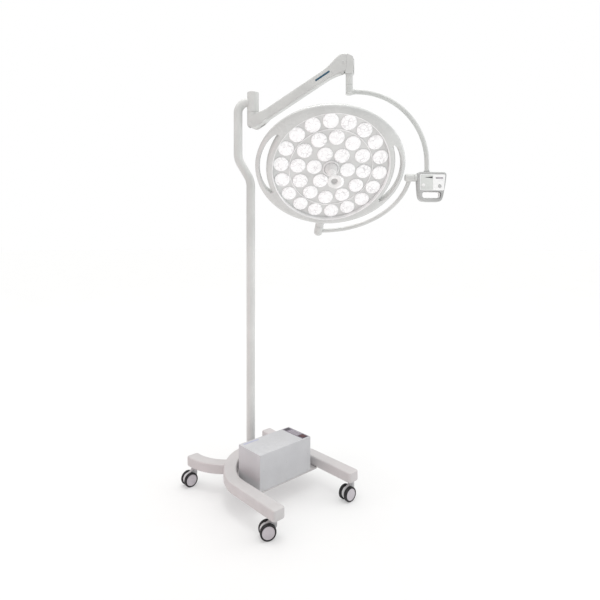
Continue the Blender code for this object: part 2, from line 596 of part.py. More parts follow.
# ---------------------------------------------------------------- head frame
normal = polar(YOKE_AZ - math.pi / 2) * math.cos(HEAD_TILT) - Z * math.sin(HEAD_TILT)
plain_up = normal.cross(yoke)
up_v = plain_up * math.cos(HEAD_ROLL) + yoke * math.sin(HEAD_ROLL)
right_u = yoke * math.cos(HEAD_ROLL) - plain_up * math.sin(HEAD_ROLL)
arc_centre = yoke_point(PITCH_BACK, PITCH_Z)
head_centre = arc_centre + up_v * HEAD_OFF
head_frame = frame(head_centre, right_u, up_v, normal)

# inner yoke: quarter ellipse in the plane of the pitch axis and the head's stub
inner = []
for k in range(13):
    a = math.radians(1.0 + 89.0 * k / 12)
    inner.append(arc_centre + yoke * (INNER_A * math.cos(a)) - plain_up * (INNER_B * math.sin(a)))
inner.append(inner[-1] - yoke * 0.012)
inner_tube = place("inner_yoke_tube", sweep(inner, circle(INNER_TUBE_R, 10), normal), PAINT,
                   origin=arc_centre)
boolean(inner_tube, place("tool_boss", rod(BOSS_R + GAP, 0.25, 0.32, 24), PAINT, pitch_frame))
stub_frame = frame(head_centre, right_u, -normal, -up_v)       # local Z runs down the stub
bearing = place("inner_yoke_bearing", lathe(
    [(0, 0.3735), (0.0083, 0.3735), (0.0083, 0.3263), (STUB_R - 0.001, 0.3263), (STUB_R, 0.3273),
     (STUB_R, 0.3660), (0.0190, 0.3740), (0.0145, 0.3790), (0, 0.3815)], 24),
    PAINT, stub_frame)
boolean(inner_tube, place("tool_bearing", rod(STUB_R + GAP, 0.31, 0.40, 24), PAINT, stub_frame))


# ---------------------------------------------------------------- head
def rim(theta):
    """Oval outline radius of the head at an angle in its own plane."""
    return 1 / math.sqrt((math.cos(theta) / HEAD_RU) ** 2 + (math.sin(theta) / HEAD_RV) ** 2)


RING_PROFILE = [(0.2560, 0.0120), (FACE_R, 0.0120), (FACE_R, 0.0300), (0.2662, 0.0340), (0.2700, 0.0345),
                (0.2850, 0.0310), (0.2945, 0.0260), (HEAD_RV, 0.0170),
                (0.2970, -0.0020), (0.2850, -0.0140), (0.2620, -0.0220), (0.1800, -0.0300),
                (0, -0.0340), (0, -0.0290), (0.2000, -0.0240),
                (0.2560, -0.0160)]
STRETCH_FROM = 0.2700


def head_shell():
    bm = bmesh.new()
    steps = 64
    columns, poles = [], {}
    for k in range(steps):
        a = 2 * math.pi * k / steps
        stretch = (rim(a) - STRETCH_FROM) / (HEAD_RV - STRETCH_FROM)
        column = []
        for i, (r, z) in enumerate(RING_PROFILE):
            if r < 1e-7:
                if i not in poles:
                    poles[i] = bm.verts.new((0, 0, z))
                column.append(poles[i])
                continue
            if r > STRETCH_FROM:
                r = STRETCH_FROM + (r - STRETCH_FROM) * stretch
            column.append(bm.verts.new((r * math.cos(a), r * math.sin(a), z)))
        columns.append(column)
    count = len(RING_PROFILE)
    for k in range(steps):
        a, b = columns[k], columns[(k + 1) % steps]
        for i in range(count):
            j = (i + 1) % count
            corners = []
            for v in (a[i], b[i], b[j], a[j]):
                if v not in corners:
                    corners.append(v)
            if len(corners) > 2:
                bm.faces.new(corners)
    return bm


def slot_outline(sign):
    """Crescent between the ring and a grip loop."""
    inside, outside = [], []
    for k in range(13):
        t = -1 + 2 * k / 12
        a = SLOT_HALF * t
        width = (HEAD_RU - LOOP_W - RING_R) * max(0.0, 1 - t * t) ** 0.62
        inside.append((sign * RING_R * math.cos(a), RING_R * math.sin(a)))
        if 0 < k < 12:
            outside.append((sign * (RING_R + width) * math.cos(a), (RING_R + width) * math.sin(a)))
    return inside + outside[::-1]


shell = place("head_housing", head_shell(), PAINT, head_frame)
for tag, sign in (("left", -1), ("right", 1)):
    boolean(shell, place(f"tool_slot_{tag}", prism(slot_outline(sign), -0.08, 0.08), PAINT, head_frame))
boolean(shell, place("tool_stub_neck", lathe(
    [(0, 0.2800), (0.0225, 0.2800), (0.0262, 0.2960), (0.0222, 0.3060), (STUB_R, 0.3140), (STUB_R, 0.3250),
     (STUB_R - 0.001, 0.3260), (0.0080, 0.3260), (0.0080, 0.3700), (0, 0.3700)], 24), PAINT, stub_frame),
    "UNION")

board = place("led_board", prism(circle(0.2450, 36), -0.0060, -0.0030), BOARD, head_frame)

plate_steps = 48
lens_plate = place("lens_plate", prism(circle(FACE_R - 0.0006, plate_steps), 0.0123, 0.0150), LENS, head_frame)
domes = bmesh.new()
for count, radius, start in LENS_RINGS:
    for k in range(count):
        a = math.radians(90 - start - 360 * k / count)
        at = Vector((radius * math.cos(a), radius * math.sin(a), 0))
        rings = []
        for r, z in ((LENS_R, 0.0136), (LENS_R, 0.0166), (LENS_R * 0.72, 0.0200)):
            rings.append([domes.verts.new(at + Vector((r * math.cos(b), r * math.sin(b), z)))
                          for b in (2 * math.pi * m / 10 for m in range(10))])
        for low, high in zip(rings, rings[1:]):
            for m in range(10):
                n = (m + 1) % 10
                domes.faces.new((low[m], low[n], high[n], high[m]))
        domes.faces.new(rings[0][::-1])
        domes.faces.new(rings[-1])
boolean(lens_plate, place("tool_lens_domes", domes, LENS, head_frame), "UNION")

place("handle_collar", lathe(
    [(0.0096, 0.0153), (0.0310, 0.0153), (0.0315, 0.0165), (0.0300, 0.0185), (0.0290, 0.0290),
     (0.0245, 0.0400), (0.0185, 0.0450), (0.0096, 0.0450)], 20, closed=True), HANDLE, head_frame)
place("sterile_handle", lathe(
    [(0, 0.0180), (0.0090, 0.0180), (0.0090, 0.0454), (0.0160, 0.0454), (0.0165, 0.0480),
     (0.0150, 0.0700), (0.0155, 0.0950), (0.0205, 0.1180), (0.0280, 0.1310), (0.0305, 0.1350),
     (0.0305, 0.1385), (0.0280, 0.1400), (0.0150, 0.1400), (0.0130, 0.1380), (0.0120, 0.1100),
     (0, 0.1100)], 20), HANDLE, head_frame)
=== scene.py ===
"""Looks for the mobile surgical light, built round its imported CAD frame.

Metres, in the row frame: +Z up, the floor at z = 0. Every piece is modelled at its
rest place and rides on the CAD body that carries it.
"""

from math import acos, cos, pi, radians, sin, sqrt, tan

import bmesh
import bpy
from mathutils import Matrix, Vector


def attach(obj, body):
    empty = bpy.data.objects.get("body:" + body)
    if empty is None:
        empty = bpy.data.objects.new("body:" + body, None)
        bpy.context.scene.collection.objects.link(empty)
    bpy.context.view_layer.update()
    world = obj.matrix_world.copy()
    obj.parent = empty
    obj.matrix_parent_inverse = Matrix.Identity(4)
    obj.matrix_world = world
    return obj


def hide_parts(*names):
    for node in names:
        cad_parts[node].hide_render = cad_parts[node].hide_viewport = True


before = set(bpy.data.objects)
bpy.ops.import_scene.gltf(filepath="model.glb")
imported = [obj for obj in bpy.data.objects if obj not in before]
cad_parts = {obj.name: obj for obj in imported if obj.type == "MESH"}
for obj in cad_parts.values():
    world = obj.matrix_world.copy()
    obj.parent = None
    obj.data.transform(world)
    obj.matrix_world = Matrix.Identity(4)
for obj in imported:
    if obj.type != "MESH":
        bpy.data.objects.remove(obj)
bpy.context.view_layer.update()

X, Y, Z = Vector((1, 0, 0)), Vector((0, 1, 0)), Vector((0, 0, 1))
HERE = Matrix.Identity(4)
TAU = 2 * pi

# ------------ dimensions
GAP = 0.0003
FLOOR = 0.010                                # floor height in the working frame
SHIFT = Vector((-0.1768, 0.1154, -FLOOR))    # working frame to the row frame

BEAM_W, BEAM_H, BEAM_Z = 0.060, 0.046, 0.100
LEG_X, FRONT_END, ARCH_APEX = 0.217, -0.330, 0.190
REAR_ARC_Y, REAR_ARC_R = 0.304, 0.226
WHEEL_R, WHEEL_IN, TRAIL = 0.033, 0.0072, 0.026
CASTERS = {                                  # stem position, axle direction in degrees
    "front_left": (Vector((-0.206, -0.281, 0)), 62.7),
    "front_right": (Vector((0.2341, -0.2984, 0)), 87.0),
    "rear_left": (Vector((-0.2255, 0.2965, 0)), 89.0),
    "rear_right": (Vector((0.2260, 0.2965, 0)), 88.0),
}

BOX_X, BOX_Y, BOX_Z = (-0.1490, 0.1510), (-0.118, 0.039), (0.1000, 0.2580)
STATUS_X, STATUS_Y = (0.1040, 0.1450), (-0.1115, 0.0325)
ROCKER_X, ROCKER_Y = (0.1130, 0.1360), (-0.1060, -0.0780)
INLET_X, INLET_Z = 0.115, 0.150

POLE_Y, POLE_R, POLE_BOTTOM = 0.148, 0.021, 0.1467
CRANK, CRANK_LOW, CRANK_HIGH = 0.062, 1.470, 1.575
ELBOW_Z, ELBOW_R, POLE_AZ = 1.854, 0.052, radians(137.5)
SLEEVE_OFF, SLEEVE_R, SLEEVE_Z0, SLEEVE_Z1 = 0.011, 0.0285, 1.8018, 1.9014

ARM_AZ, ARM_REACH = radians(-57.7), 0.4751
ARM_B, ARM_T = (0.010, 1.7515), (0.449, 2.000)
BEAM_HALF, ARM_WIDTH, FORK_R, TONGUE_W = 0.0255, 0.036, 0.043, 0.026
DROP_Z = 1.8950

YOKE_AZ, YOKE_TUBE_R = radians(-37.3), 0.0110
YOKE_TOP, YOKE_BEND, YOKE_BEND_P = 1.8669, 0.3245, 0.045
PITCH_Z, PITCH_BACK, BOSS_R = 1.4715, -0.0967, 0.0178
INNER_A, INNER_B, INNER_TUBE_R = 0.383, 0.304, 0.0100
PANEL_P, PANEL_DEPTH = 0.3905, 0.036

HEAD_OFF, HEAD_TILT, HEAD_ROLL = 0.0518, radians(36.5), radians(4.5)
HEAD_RU, HEAD_RV, RING_R = 0.342, 0.299, 0.2925
LOOP_W, SLOT_HALF, STUB_R = 0.021, radians(29), 0.0205
LENS_RINGS = ((18, 0.2273, 10.0), (12, 0.1515, 0.0), (6, 0.0768, 30.0))


# ------------ materials
class Graph:
    """Short calls that add shader nodes to a node tree."""

    def __init__(self, tree, space="Object"):
        self.nodes, self.links = tree.nodes, tree.links
        self.coords = self.node("TexCoord", out=space)

    def node(self, kind, inputs=(), out=0, **props):
        """Add a node, set its properties, feed its inputs and give one of its outputs."""
        made = self.nodes.new("ShaderNode" + kind)
        for key, value in props.items():
            setattr(made, key, value)
        for key, value in dict(inputs).items():
            self.feed(made.inputs[key], value)
        return made.outputs[out]

    def feed(self, socket, value):
        if isinstance(value, bpy.types.NodeSocket):
            self.links.new(value, socket)
        else:
            socket.default_value = value

    def step(self, value, low, high, to_low=0.0, to_high=1.0):
        return self.node("MapRange", {"Value": value, "From Min": low, "From Max": high,
                                      "To Min": to_low, "To Max": to_high})

    def calc(self, op, a, b):
        return self.node("Math", {0: a, 1: b}, operation=op)

    def times(self, a, b):
        return self.calc("MULTIPLY", a, b)

    def mix(self, factor, a, b):
        a, b = ((*c, 1.0) if isinstance(c, tuple) else c for c in (a, b))
        return self.node("Mix", {0: factor, 6: a, 7: b}, 2, data_type="RGBA")

    def noise(self, scale, detail=3.0, rough=0.55, stretch=None):
        where = self.node("Mapping", {"Vector": self.coords, "Scale": stretch}) if stretch else self.coords
        return self.node("TexNoise", {"Vector": where, "Scale": scale, "Detail": detail,
                                      "Roughness": rough}, "Fac")

    def spots(self, low, high, *noise):
        """Noise cut down to patches."""
        return self.step(self.noise(*noise), low, high)

    def cells(self, scale, **props):
        return self.node("TexVoronoi", {"Vector": self.coords, "Scale": scale}, "Distance", **props)

    def edges(self, low, high):
        return self.step(self.node("NewGeometry", out="Pointiness"), low, high)

    def over(self, base, mask, amount, colour):
        """Lay a colour over the base where the mask is set."""
        return self.mix(self.times(mask, amount), base, colour)

    def bump(self, value, distance, strength, under=None):
        inputs = {"Height": value, "Distance": distance, "Strength": strength}
        return self.node("Bump", inputs if under is None else {**inputs, "Normal": under})


class Finish(Graph):
    """A Principled material in object space, and the slot that it stands for."""

    def __init__(self, name, slot, **values):
        self.mat, self.slot = bpy.data.materials.new(name), slot
        self.mat.use_nodes = True
        super().__init__(self.mat.node_tree)
        self.wire(**values)

    def wire(self, **sockets):
        for key, value in sockets.items():
            self.feed(self.nodes["Principled BSDF"].inputs[key.replace("_", " ")], value)
        return self


def tone(colour, gain, lift=0.0):
    return tuple(min(1.0, c * gain + lift) for c in colour)


def paint(name, slot, colour, rough=0.36, dust=0.0, grain=420.0, tint=None):
    """Powder coat: orange peel, faint mottling, rubbed edges lightened by a painted highlight, grime and
    painted shade in the creases, scuffs and some dust low down.
    """
    f = Finish(name, slot, Coat_Weight=0.25, Coat_Roughness=0.22)
    base = f.mix(f.spots(0.35, 0.68, 5.0, 4.0), tone(colour, 0.93), tone(colour, 1.06))
    if tint:
        base = f.mix(f.step(f.noise(2.2, 2.0), 0.42, 0.66, 0.0, 0.55), base, tint)
    base = f.mix(f.step(f.noise(1400.0, 1.0), 0.62, 0.72, 0.0, 0.22), base, tone(colour, 0.82))
    # lighter on convex edges: partly rubbed wear, partly a painted highlight
    rub_and_highlight = f.times(f.edges(0.53, 0.62), f.spots(0.45, 0.62, 60.0, 5.0, 0.7))
    base = f.over(base, rub_and_highlight, 0.45, tone(colour, 1.22))
    # darker in concave creases: partly grime, partly painted shade
    grime_and_crease_shade = f.times(f.edges(0.49, 0.4), f.spots(0.35, 0.7, 26.0, 4.0))
    base = f.over(base, grime_and_crease_shade, 0.35, tone(colour, 0.62))
    scuff = f.spots(0.66, 0.74, 38.0, 6.0, 0.72, (1.0, 1.0, 0.18))
    base = f.over(base, scuff, 0.1, tone(colour, 0.7))
    if dust:
        height = f.node("SeparateXYZ", {0: f.coords}, 2)
        low = f.times(f.step(height, 0.17, 0.09), f.spots(0.38, 0.72, 18.0, 5.0))
        base = f.over(base, low, dust, (0.42, 0.40, 0.37))
    peel = f.bump(f.noise(grain, 2.0), 0.00035, 0.3)
    gloss = f.step(f.noise(30.0, 4.0), 0.3, 0.7, rough - 0.05, rough + 0.06)
    return f.wire(Base_Color=base, Normal=f.bump(f.noise(60.0, 2.0), 0.0009, 0.1, peel),
                  Roughness=f.calc("ADD", gloss, f.times(scuff, 0.12)))


def moulded(name, slot, colour, rough=0.40, grain=900.0, depth=0.0002, edge_highlight=0.25, **extra):
    """Injection-moulded plastic: spark-eroded grain, slight flow mottling, polished edges lightened by a
    painted highlight, dirt and painted shade in the creases.
    """
    f = Finish(name, slot, **extra)
    base = f.mix(f.spots(0.35, 0.68, 9.0, 3.0), tone(colour, 0.92), tone(colour, 1.07))
    # convex edges: polish makes them glossier, and a painted highlight makes them lighter
    polish_and_highlight = f.edges(0.53, 0.6)
    base = f.over(base, polish_and_highlight, edge_highlight, tone(colour, 1.35, 0.02))
    # darker in concave creases: partly dirt, partly painted shade
    dirt_and_crease_shade = f.times(f.edges(0.48, 0.41), f.spots(0.35, 0.65, 40.0, 4.0))
    base = f.over(base, dirt_and_crease_shade, 0.2, tone(colour, 0.55))
    gloss = f.step(f.noise(55.0, 3.0), 0.3, 0.7, rough - 0.04, rough + 0.07)
    return f.wire(Base_Color=base, Normal=f.bump(f.cells(grain), depth, 0.35),
                  Roughness=f.calc("SUBTRACT", gloss, f.times(polish_and_highlight, 0.08)))


def metal(name, slot, colour, rough=0.28):
    """Turned or ground metal: fine machining lines, smudges and darker staining."""
    f = Finish(name, slot, Metallic=1.0)
    lines = f.noise(160.0, 4.0, 0.6, (1.0, 1.0, 30.0))
    base = f.mix(f.step(lines, 0.3, 0.7), tone(colour, 0.86), colour)
    smudge = f.spots(0.5, 0.72, 45.0, 5.0)
    base = f.over(base, smudge, 0.25, tone(colour, 0.6))
    gloss = f.step(lines, 0.3, 0.7, rough - 0.05, rough + 0.08)
    return f.wire(Base_Color=base, Normal=f.bump(lines, 0.0001, 0.25),
                  Roughness=f.calc("ADD", gloss, f.times(smudge, 0.12)))


def rubber(name, slot):
    """Tyre compound: near-black, with floor dust on the tread and fine scuffing."""
    f = Finish(name, slot, Specular_IOR_Level=0.35)
    base = f.mix(f.spots(0.35, 0.7, 50.0, 5.0), (0.010, 0.010, 0.012), (0.026, 0.025, 0.027))
    dust = f.times(f.spots(0.48, 0.66, 120.0, 6.0, 0.7), f.edges(0.5, 0.56))
    base = f.over(base, dust, 0.35, (0.16, 0.15, 0.14))
    base = f.over(base, f.spots(0.66, 0.74, 900.0, 2.0), 0.3, (0.13, 0.125, 0.12))
    scuffs = f.noise(300.0, 5.0, 0.7)
    return f.wire(Base_Color=base, Normal=f.bump(scuffs, 0.0003, 0.35),
                  Roughness=f.step(scuffs, 0.3, 0.7, 0.46, 0.68))


def optic(name, slot, glow):
    """Lit lens: cut facets and moulded prisms show as pale lines in a bright body; each facet's own
    brightness is painted refracted light, which the glow repeats.
    """
    f = Finish(name, slot, Roughness=0.1, Coat_Weight=0.5, Coat_Roughness=0.04,
               Emission_Strength=glow, Specular_IOR_Level=0.5)
    # per-facet brightness: refracted light painted into the colour and the emission
    facet = f.node("Attribute", out="Fac", attribute_name="facet")
    edge, fine = (f.cells(scale, feature="DISTANCE_TO_EDGE") for scale in (52.0, 210.0))
    colour = f.mix(facet, (0.740, 0.740, 0.745), (0.960, 0.960, 0.960))
    lines = f.times(f.step(edge, 0.085, 0.0), f.spots(0.44, 0.58, 24.0, 2.0))
    colour = f.over(colour, lines, 0.7, (0.480, 0.465, 0.475))
    colour = f.mix(f.step(fine, 0.06, 0.0, 0.0, 0.3), colour, (0.58, 0.58, 0.60))
    return f.wire(Base_Color=colour, Emission_Color=colour,
                  Normal=f.bump(f.calc("ADD", edge, f.times(fine, 0.4)), 0.0016, 0.35))


def laminate(name, slot, colour, rough, **extra):
    """Printed membrane: very fine dot texture with a silky surface."""
    f = Finish(name, slot, Coat_Weight=0.3, Coat_Roughness=0.15, **extra)
    dots = f.cells(1500.0)
    base = f.mix(f.spots(0.35, 0.7, 14.0, 3.0), tone(colour, 0.95), tone(colour, 1.04))
    base = f.mix(f.step(dots, 0.3, 0.1, 0.0, 0.1), base, tone(colour, 0.8))
    smear = f.noise(28.0, 5.0, 0.65, (1.0, 1.0, 0.5))
    return f.wire(Base_Color=base, Normal=f.bump(dots, 0.00012, 0.25),
                  Roughness=f.step(smear, 0.35, 0.7, rough - 0.05, rough + 0.1))


WHITE = (1.0, 1.0, 1.0, 1.0)
PAINT = paint("satin_grey_coat", "warm_grey_paint", (0.672, 0.682, 0.668))
HEAD_PAINT = paint("satin_head_coat", "hub_grey", (0.650, 0.660, 0.648), 0.26)
BASE_PAINT = paint("off_white_coat", "off_white_paint", (0.605, 0.588, 0.590), 0.34, 0.25,
                   tint=(0.605, 0.560, 0.568))
CASE_PAINT = paint("fine_texture_coat", "case_grey_paint", (0.585, 0.588, 0.606), 0.42, 0.15, 800.0)
TYRE = rubber("tyre_rubber", "tyre_black")
HUB = moulded("hub_nylon", "hub_grey", (0.560, 0.530, 0.560), 0.42)
HOOD = moulded("hood_nylon", "hub_grey", (0.56, 0.56, 0.57))
DARK = moulded("dark_moulding", "dark_plastic", (0.055, 0.050, 0.060), 0.42)
STATUS = moulded("status_membrane", "dark_plastic", (0.225, 0.195, 0.240), 0.34, 1200.0)
KEY = moulded("key_cap", "dark_plastic", (0.400, 0.375, 0.410), 0.36, 1400.0)
RED = moulded("rocker_red_gloss", "rocker_red", (0.075, 0.012, 0.020), 0.24, 1500.0, 0.00008)
STEEL = metal("turned_steel", "steel", (0.62, 0.62, 0.63))
BRONZE = metal("bearing_bronze", "bush_bronze", (0.50, 0.38, 0.20), 0.34)
LENS = optic("lit_optic", "lens_white", 0.2)
WEB = moulded("lens_web", "lens_white", (0.700, 0.708, 0.700), 0.3, 1100.0, 0.0001, 0.1)
TRIM = moulded("white_trim", "lens_white", (0.93, 0.93, 0.93), 0.24, 1600.0, 0.00006, 0.1)
BOARD = moulded("board_laminate", "board_white", (0.66, 0.69, 0.66), 0.5, 500.0)
# the white panel film glows a little: painted light, the film is no lamp
GLOWING_PANEL = laminate("glowing_panel_white_film", "panel_white", (0.955, 0.965, 0.965), 0.3,
                 Emission_Color=WHITE, Emission_Strength=0.06)
PANEL_GREY = laminate("panel_grey_film", "panel_white", (0.760, 0.785, 0.765), 0.34)
BUTTON = moulded("button_moulding", "button_grey", (0.93, 0.94, 0.93), 0.3, 1500.0, 0.00008)
BUTTON_GREY = moulded("button_grey_moulding", "button_grey", (0.58, 0.59, 0.59), 0.34, 1500.0, 0.00008)
SHELL = moulded("panel_shell", "hub_grey", (0.500, 0.510, 0.505), 0.38)
# the handle glows a little: painted light standing in for the lamp's beam falling on it
GLOWING_HANDLE = moulded("glowing_handle_polymer", "handle_grey", (0.88, 0.88, 0.87), 0.28, 1300.0, 0.0001,
                 Emission_Color=WHITE, Emission_Strength=0.08)
COLLAR = moulded("collar_polymer", "handle_grey", (0.850, 0.850, 0.845), 0.36, 1000.0)
LINING = moulded("socket_lining", "handle_grey", (0.560, 0.560, 0.555), 0.5, 1000.0)
BLUE = laminate("blue_inlay_film", "panel_white", (0.016, 0.090, 0.155), 0.3)
FAINT = laminate("faint_inlay_film", "case_grey_paint", (0.470, 0.480, 0.620), 0.36)


# ------------ mesh helpers
def mm(*values, up=0.0):
    """Points in metres from a flat run of x, y in millimetres; `up` raises them all."""
    return [(x / 1000, y / 1000 + up) for x, y in zip(values[::2], values[1::2])]


def axes(origin, x_dir=X, y_dir=Y, z_dir=Z):
    """Matrix whose columns are the given axes, with the given origin."""
    m = Matrix((x_dir, y_dir, z_dir)).transposed().to_4x4()
    m.translation = origin
    return m


def moved(x, y, z):
    return Matrix.Translation((x, y, z))


def polar(az):
    return Vector((cos(az), sin(az), 0.0))


def soften(profile, radius, steps=4, closed=False):
    """The same outline with every real corner rounded, as moulding or a file leaves it."""
    points, count = [], len(profile)
    for i, at in enumerate(profile):
        p = Vector(at)
        back, ahead = Vector(profile[i - 1]) - p, Vector(profile[(i + 1) % count]) - p
        reach = min(radius, 0.45 * back.length, 0.45 * ahead.length)
        if (not closed and i in (0, count - 1)) or reach < 2e-5 or back.angle(-ahead) < radians(4):
            points.append(tuple(p))
            continue
        start, stop = p + back.normalized() * reach, p + ahead.normalized() * reach
        for k in range(steps + 1):
            t = k / steps
            points.append(tuple(start * (1 - t) ** 2 + p * (2 * t * (1 - t)) + stop * t * t))
    return points


def loft(rings, closed=False):
    """Join rings of points (equal counts) into a closed body with flat caps."""
    bm = bmesh.new()
    loops = [[bm.verts.new(p) for p in ring] for ring in rings]
    for low, high in zip(loops, loops[1:] + (loops[:1] if closed else [])):
        for i in range(len(low)):
            j = (i + 1) % len(low)
            bm.faces.new((low[i], low[j], high[j], high[i]))
    if not closed:
        bm.faces.new(loops[0][::-1])
        bm.faces.new(loops[-1])
    return bm


def lathe(profile, steps=64, closed=False, shape=None):
    """Turn (radius, height) points about local Z. shape(angle, r, z) may bend the result."""
    bm = bmesh.new()
    columns, ends, count = [], {}, len(profile)
    for k in range(steps):
        a, column = TAU * k / steps, []
        for i, (r, z) in enumerate(profile):
            if r < 1e-7:                         # a point on the axis is shared by every column
                if i not in ends:
                    ends[i] = bm.verts.new((0, 0, z))
                column.append(ends[i])
                continue
            if shape:
                r, z = shape(a, r, z)
            column.append(bm.verts.new((r * cos(a), r * sin(a), z)))
        columns.append(column)
    for a, b in zip(columns, columns[1:] + columns[:1]):
        for i in range(count if closed else count - 1):
            j = (i + 1) % count
            corners = list(dict.fromkeys((a[i], b[i], b[j], a[j])))
            if len(corners) > 2:
                bm.faces.new(corners)
    return bm


def turned(profile, radius=0.0008, steps=64, closed=False):
    return lathe(soften(profile, radius, 4, closed), steps, closed)


def rod(radius, low, high, steps=32):
    return lathe([(0, low), (radius, low), (radius, high), (0, high)], steps)


def prism(outline, low, high):
    return loft([[(x, y, z) for x, y in outline] for z in (low, high)])


def slab(x, y, z):
    """Sharp block between two limits on each axis."""
    return prism([(x[0], y[0]), (x[1], y[0]), (x[1], y[1]), (x[0], y[1])], *z)


def pillow(outline, low, high, edge, steps=4):
    """Prism whose rims are rounded over: `outline(inset)` gives the outline pulled in."""
    rings = []
    for end, sign in ((low, 1), (high, -1)):
        turns = [pi / 2 * k / steps for k in range(steps + 1)][::sign]
        rings += [(edge * (1 - sin(a)), end + sign * edge * (1 - cos(a))) for a in turns]
    return loft([[(x, y, z) for x, y in outline(inset)] for inset, z in rings])


def rounded(width, height, radius, steps=6, cx=0.0, cy=0.0):
    """Rounded rectangle outline, counter-clockwise."""
    points = []
    for sx, sy, start in ((1, -1, -90), (1, 1, 0), (-1, 1, 90), (-1, -1, 180)):
        for k in range(steps + 1):
            a = radians(start + 90 * k / steps)
            points.append((cx + sx * (width / 2 - radius) + radius * cos(a),
                           cy + sy * (height / 2 - radius) + radius * sin(a)))
    return points


def plate(width, height, radius, low, high, edge, cx=0.0, cy=0.0):
    """Rounded rectangle slab with its rims rounded over."""
    return pillow(lambda inset: rounded(width - 2 * inset, height - 2 * inset,
                                        max(radius - inset, 0.0002), 6, cx, cy), low, high, edge)


def cuboid(x, y, z, radius, edge, grow=0.0):
    """Block with rounded corners; `grow` lets its outline out."""
    return plate(x[1] - x[0] + 2 * grow, y[1] - y[0] + 2 * grow, radius, *z, edge, sum(x) / 2, sum(y) / 2)


def circle(radius, steps):
    return [(radius * cos(TAU * k / steps), radius * sin(TAU * k / steps)) for k in range(steps)]


def sweep(path, section, side, scale=None):
    """Carry a section along a planar path; section x runs along the plane's normal `side`."""
    rings, last = [], len(path) - 1
    for i, p in enumerate(path):
        before, after = path[max(i - 1, 0)], path[min(i + 1, last)]
        tangent = (p - before).normalized() + (after - p).normalized() if 0 < i < last else after - before
        other = tangent.normalized().cross(side).normalized()
        kx, ky = scale[i] if scale else (1.0, 1.0)
        rings.append([p + side * (x * kx) + other * (y * ky) for x, y in section])
    return loft(rings)


def fillet_path(corners, radii, steps):
    """Polyline through 2-D corners with its inner corners rounded."""
    points = [Vector(corners[0])]
    for i, radius in enumerate(radii):
        a, b, c = (Vector(q) for q in corners[i:i + 3])
        u, v = (a - b).normalized(), (c - b).normalized()
        half = acos(max(-1, min(1, u.dot(v)))) / 2
        reach = radius / tan(half)
        centre = b + (u + v).normalized() * (radius / sin(half))
        start, stop = b + u * reach - centre, b + v * reach - centre
        turn = -start.angle_signed(stop)
        for k in range(steps + 1):
            a = turn * k / steps
            points.append(centre + Vector((start.x * cos(a) - start.y * sin(a),
                                           start.x * sin(a) + start.y * cos(a))))
    return points + [Vector(corners[-1])]


def join(parts):
    """One mesh from several (mesh, matrix) parts."""
    whole = bmesh.new()
    for bm, matrix in parts:
        bmesh.ops.transform(bm, matrix=matrix, verts=bm.verts)
        temp = bpy.data.meshes.new("part")
        bm.to_mesh(temp)
        bm.free()
        whole.from_mesh(temp)
        bpy.data.meshes.remove(temp)
    return whole


def mesh_object(name, bm, matrix):
    bmesh.ops.transform(bm, matrix=Matrix.Translation(SHIFT) @ matrix, verts=bm.verts)
    bmesh.ops.recalc_face_normals(bm, faces=bm.faces)
    mesh = bpy.data.meshes.new(name)
    bm.to_mesh(mesh)
    bm.free()
    return link(bpy.data.objects.new(name, mesh))


def link(ob):
    bpy.context.scene.collection.objects.link(ob)
    return ob


def bake(ob):
    """Replace the mesh by its evaluated one, so that no modifier is left."""
    made = bpy.data.meshes.new_from_object(ob.evaluated_get(bpy.context.evaluated_depsgraph_get()))
    ob.modifiers.clear()
    ob.data = made


def cut(ob, tools, operation="DIFFERENCE"):
    """Apply Booleans with (mesh, matrix) tools, then drop the tools."""
    for bm, matrix in tools:
        tool = mesh_object("tool", bm, matrix)
        mod = ob.modifiers.new("cut", "BOOLEAN")
        mod.operation, mod.solver, mod.object = operation, "EXACT", tool
        bake(ob)
        bpy.data.objects.remove(tool, do_unlink=True)


def rim_bevel(ob, width, segments=3, angle=30.0):
    mod = ob.modifiers.new("bevel", "BEVEL")
    mod.width, mod.segments, mod.limit_method = width, segments, "ANGLE"
    mod.angle_limit = radians(angle)
    bake(ob)


def show(ob, finish, body, replaces=None, sharp=32.0):
    """Shade a finished mesh, give it its finish and let it ride on its body."""
    ob.data.shade_smooth()
    ob.data.set_sharp_from_angle(angle=radians(sharp))
    ob.data.materials.clear()
    ob.data.materials.append(finish.mat)
    ob.modifiers.new("normals", "WEIGHTED_NORMAL").keep_sharp = True
    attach(ob, body)
    if replaces:
        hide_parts(replaces)


def piece(name, bm, finish, body, matrix=HERE, replaces=None, cuts=(), bevel=0.0, adds=()):
    """Make a mesh, add to it, cut it, bevel it and show it."""
    ob = mesh_object(name, bm, matrix)
    cut(ob, adds, "UNION")
    cut(ob, cuts)
    if bevel:
        rim_bevel(ob, bevel)
    show(ob, finish, body, replaces)


def hex_screw(radius, height, socket, steps=36):
    """Button-head screw with a hexagon socket, its underside at z = 0."""
    def ring(r, z, hexed=False):
        points = []
        for k in range(steps):
            a = TAU * k / steps
            d = r / cos((a % (TAU / 6)) - TAU / 12) if hexed else r
            points.append((d * cos(a), d * sin(a), z))
        return points
    return loft([ring(radius * r, height * z) for r, z in
                 ((1, 0), (1, 0.25), (0.93, 0.62), (0.76, 0.9), (0.62, 1))] +
                [ring(socket * r, height * z, True) for r, z in ((1.06, 1), (1, 0.93), (0.98, 0.25))])


def screws(name, places, radius, height, socket, body, finish=STEEL):
    """A set of screws as one piece; each place is a matrix with its Z out of the surface."""
    piece(name, join([(hex_screw(radius, height, socket), m) for m in places]), finish, body)


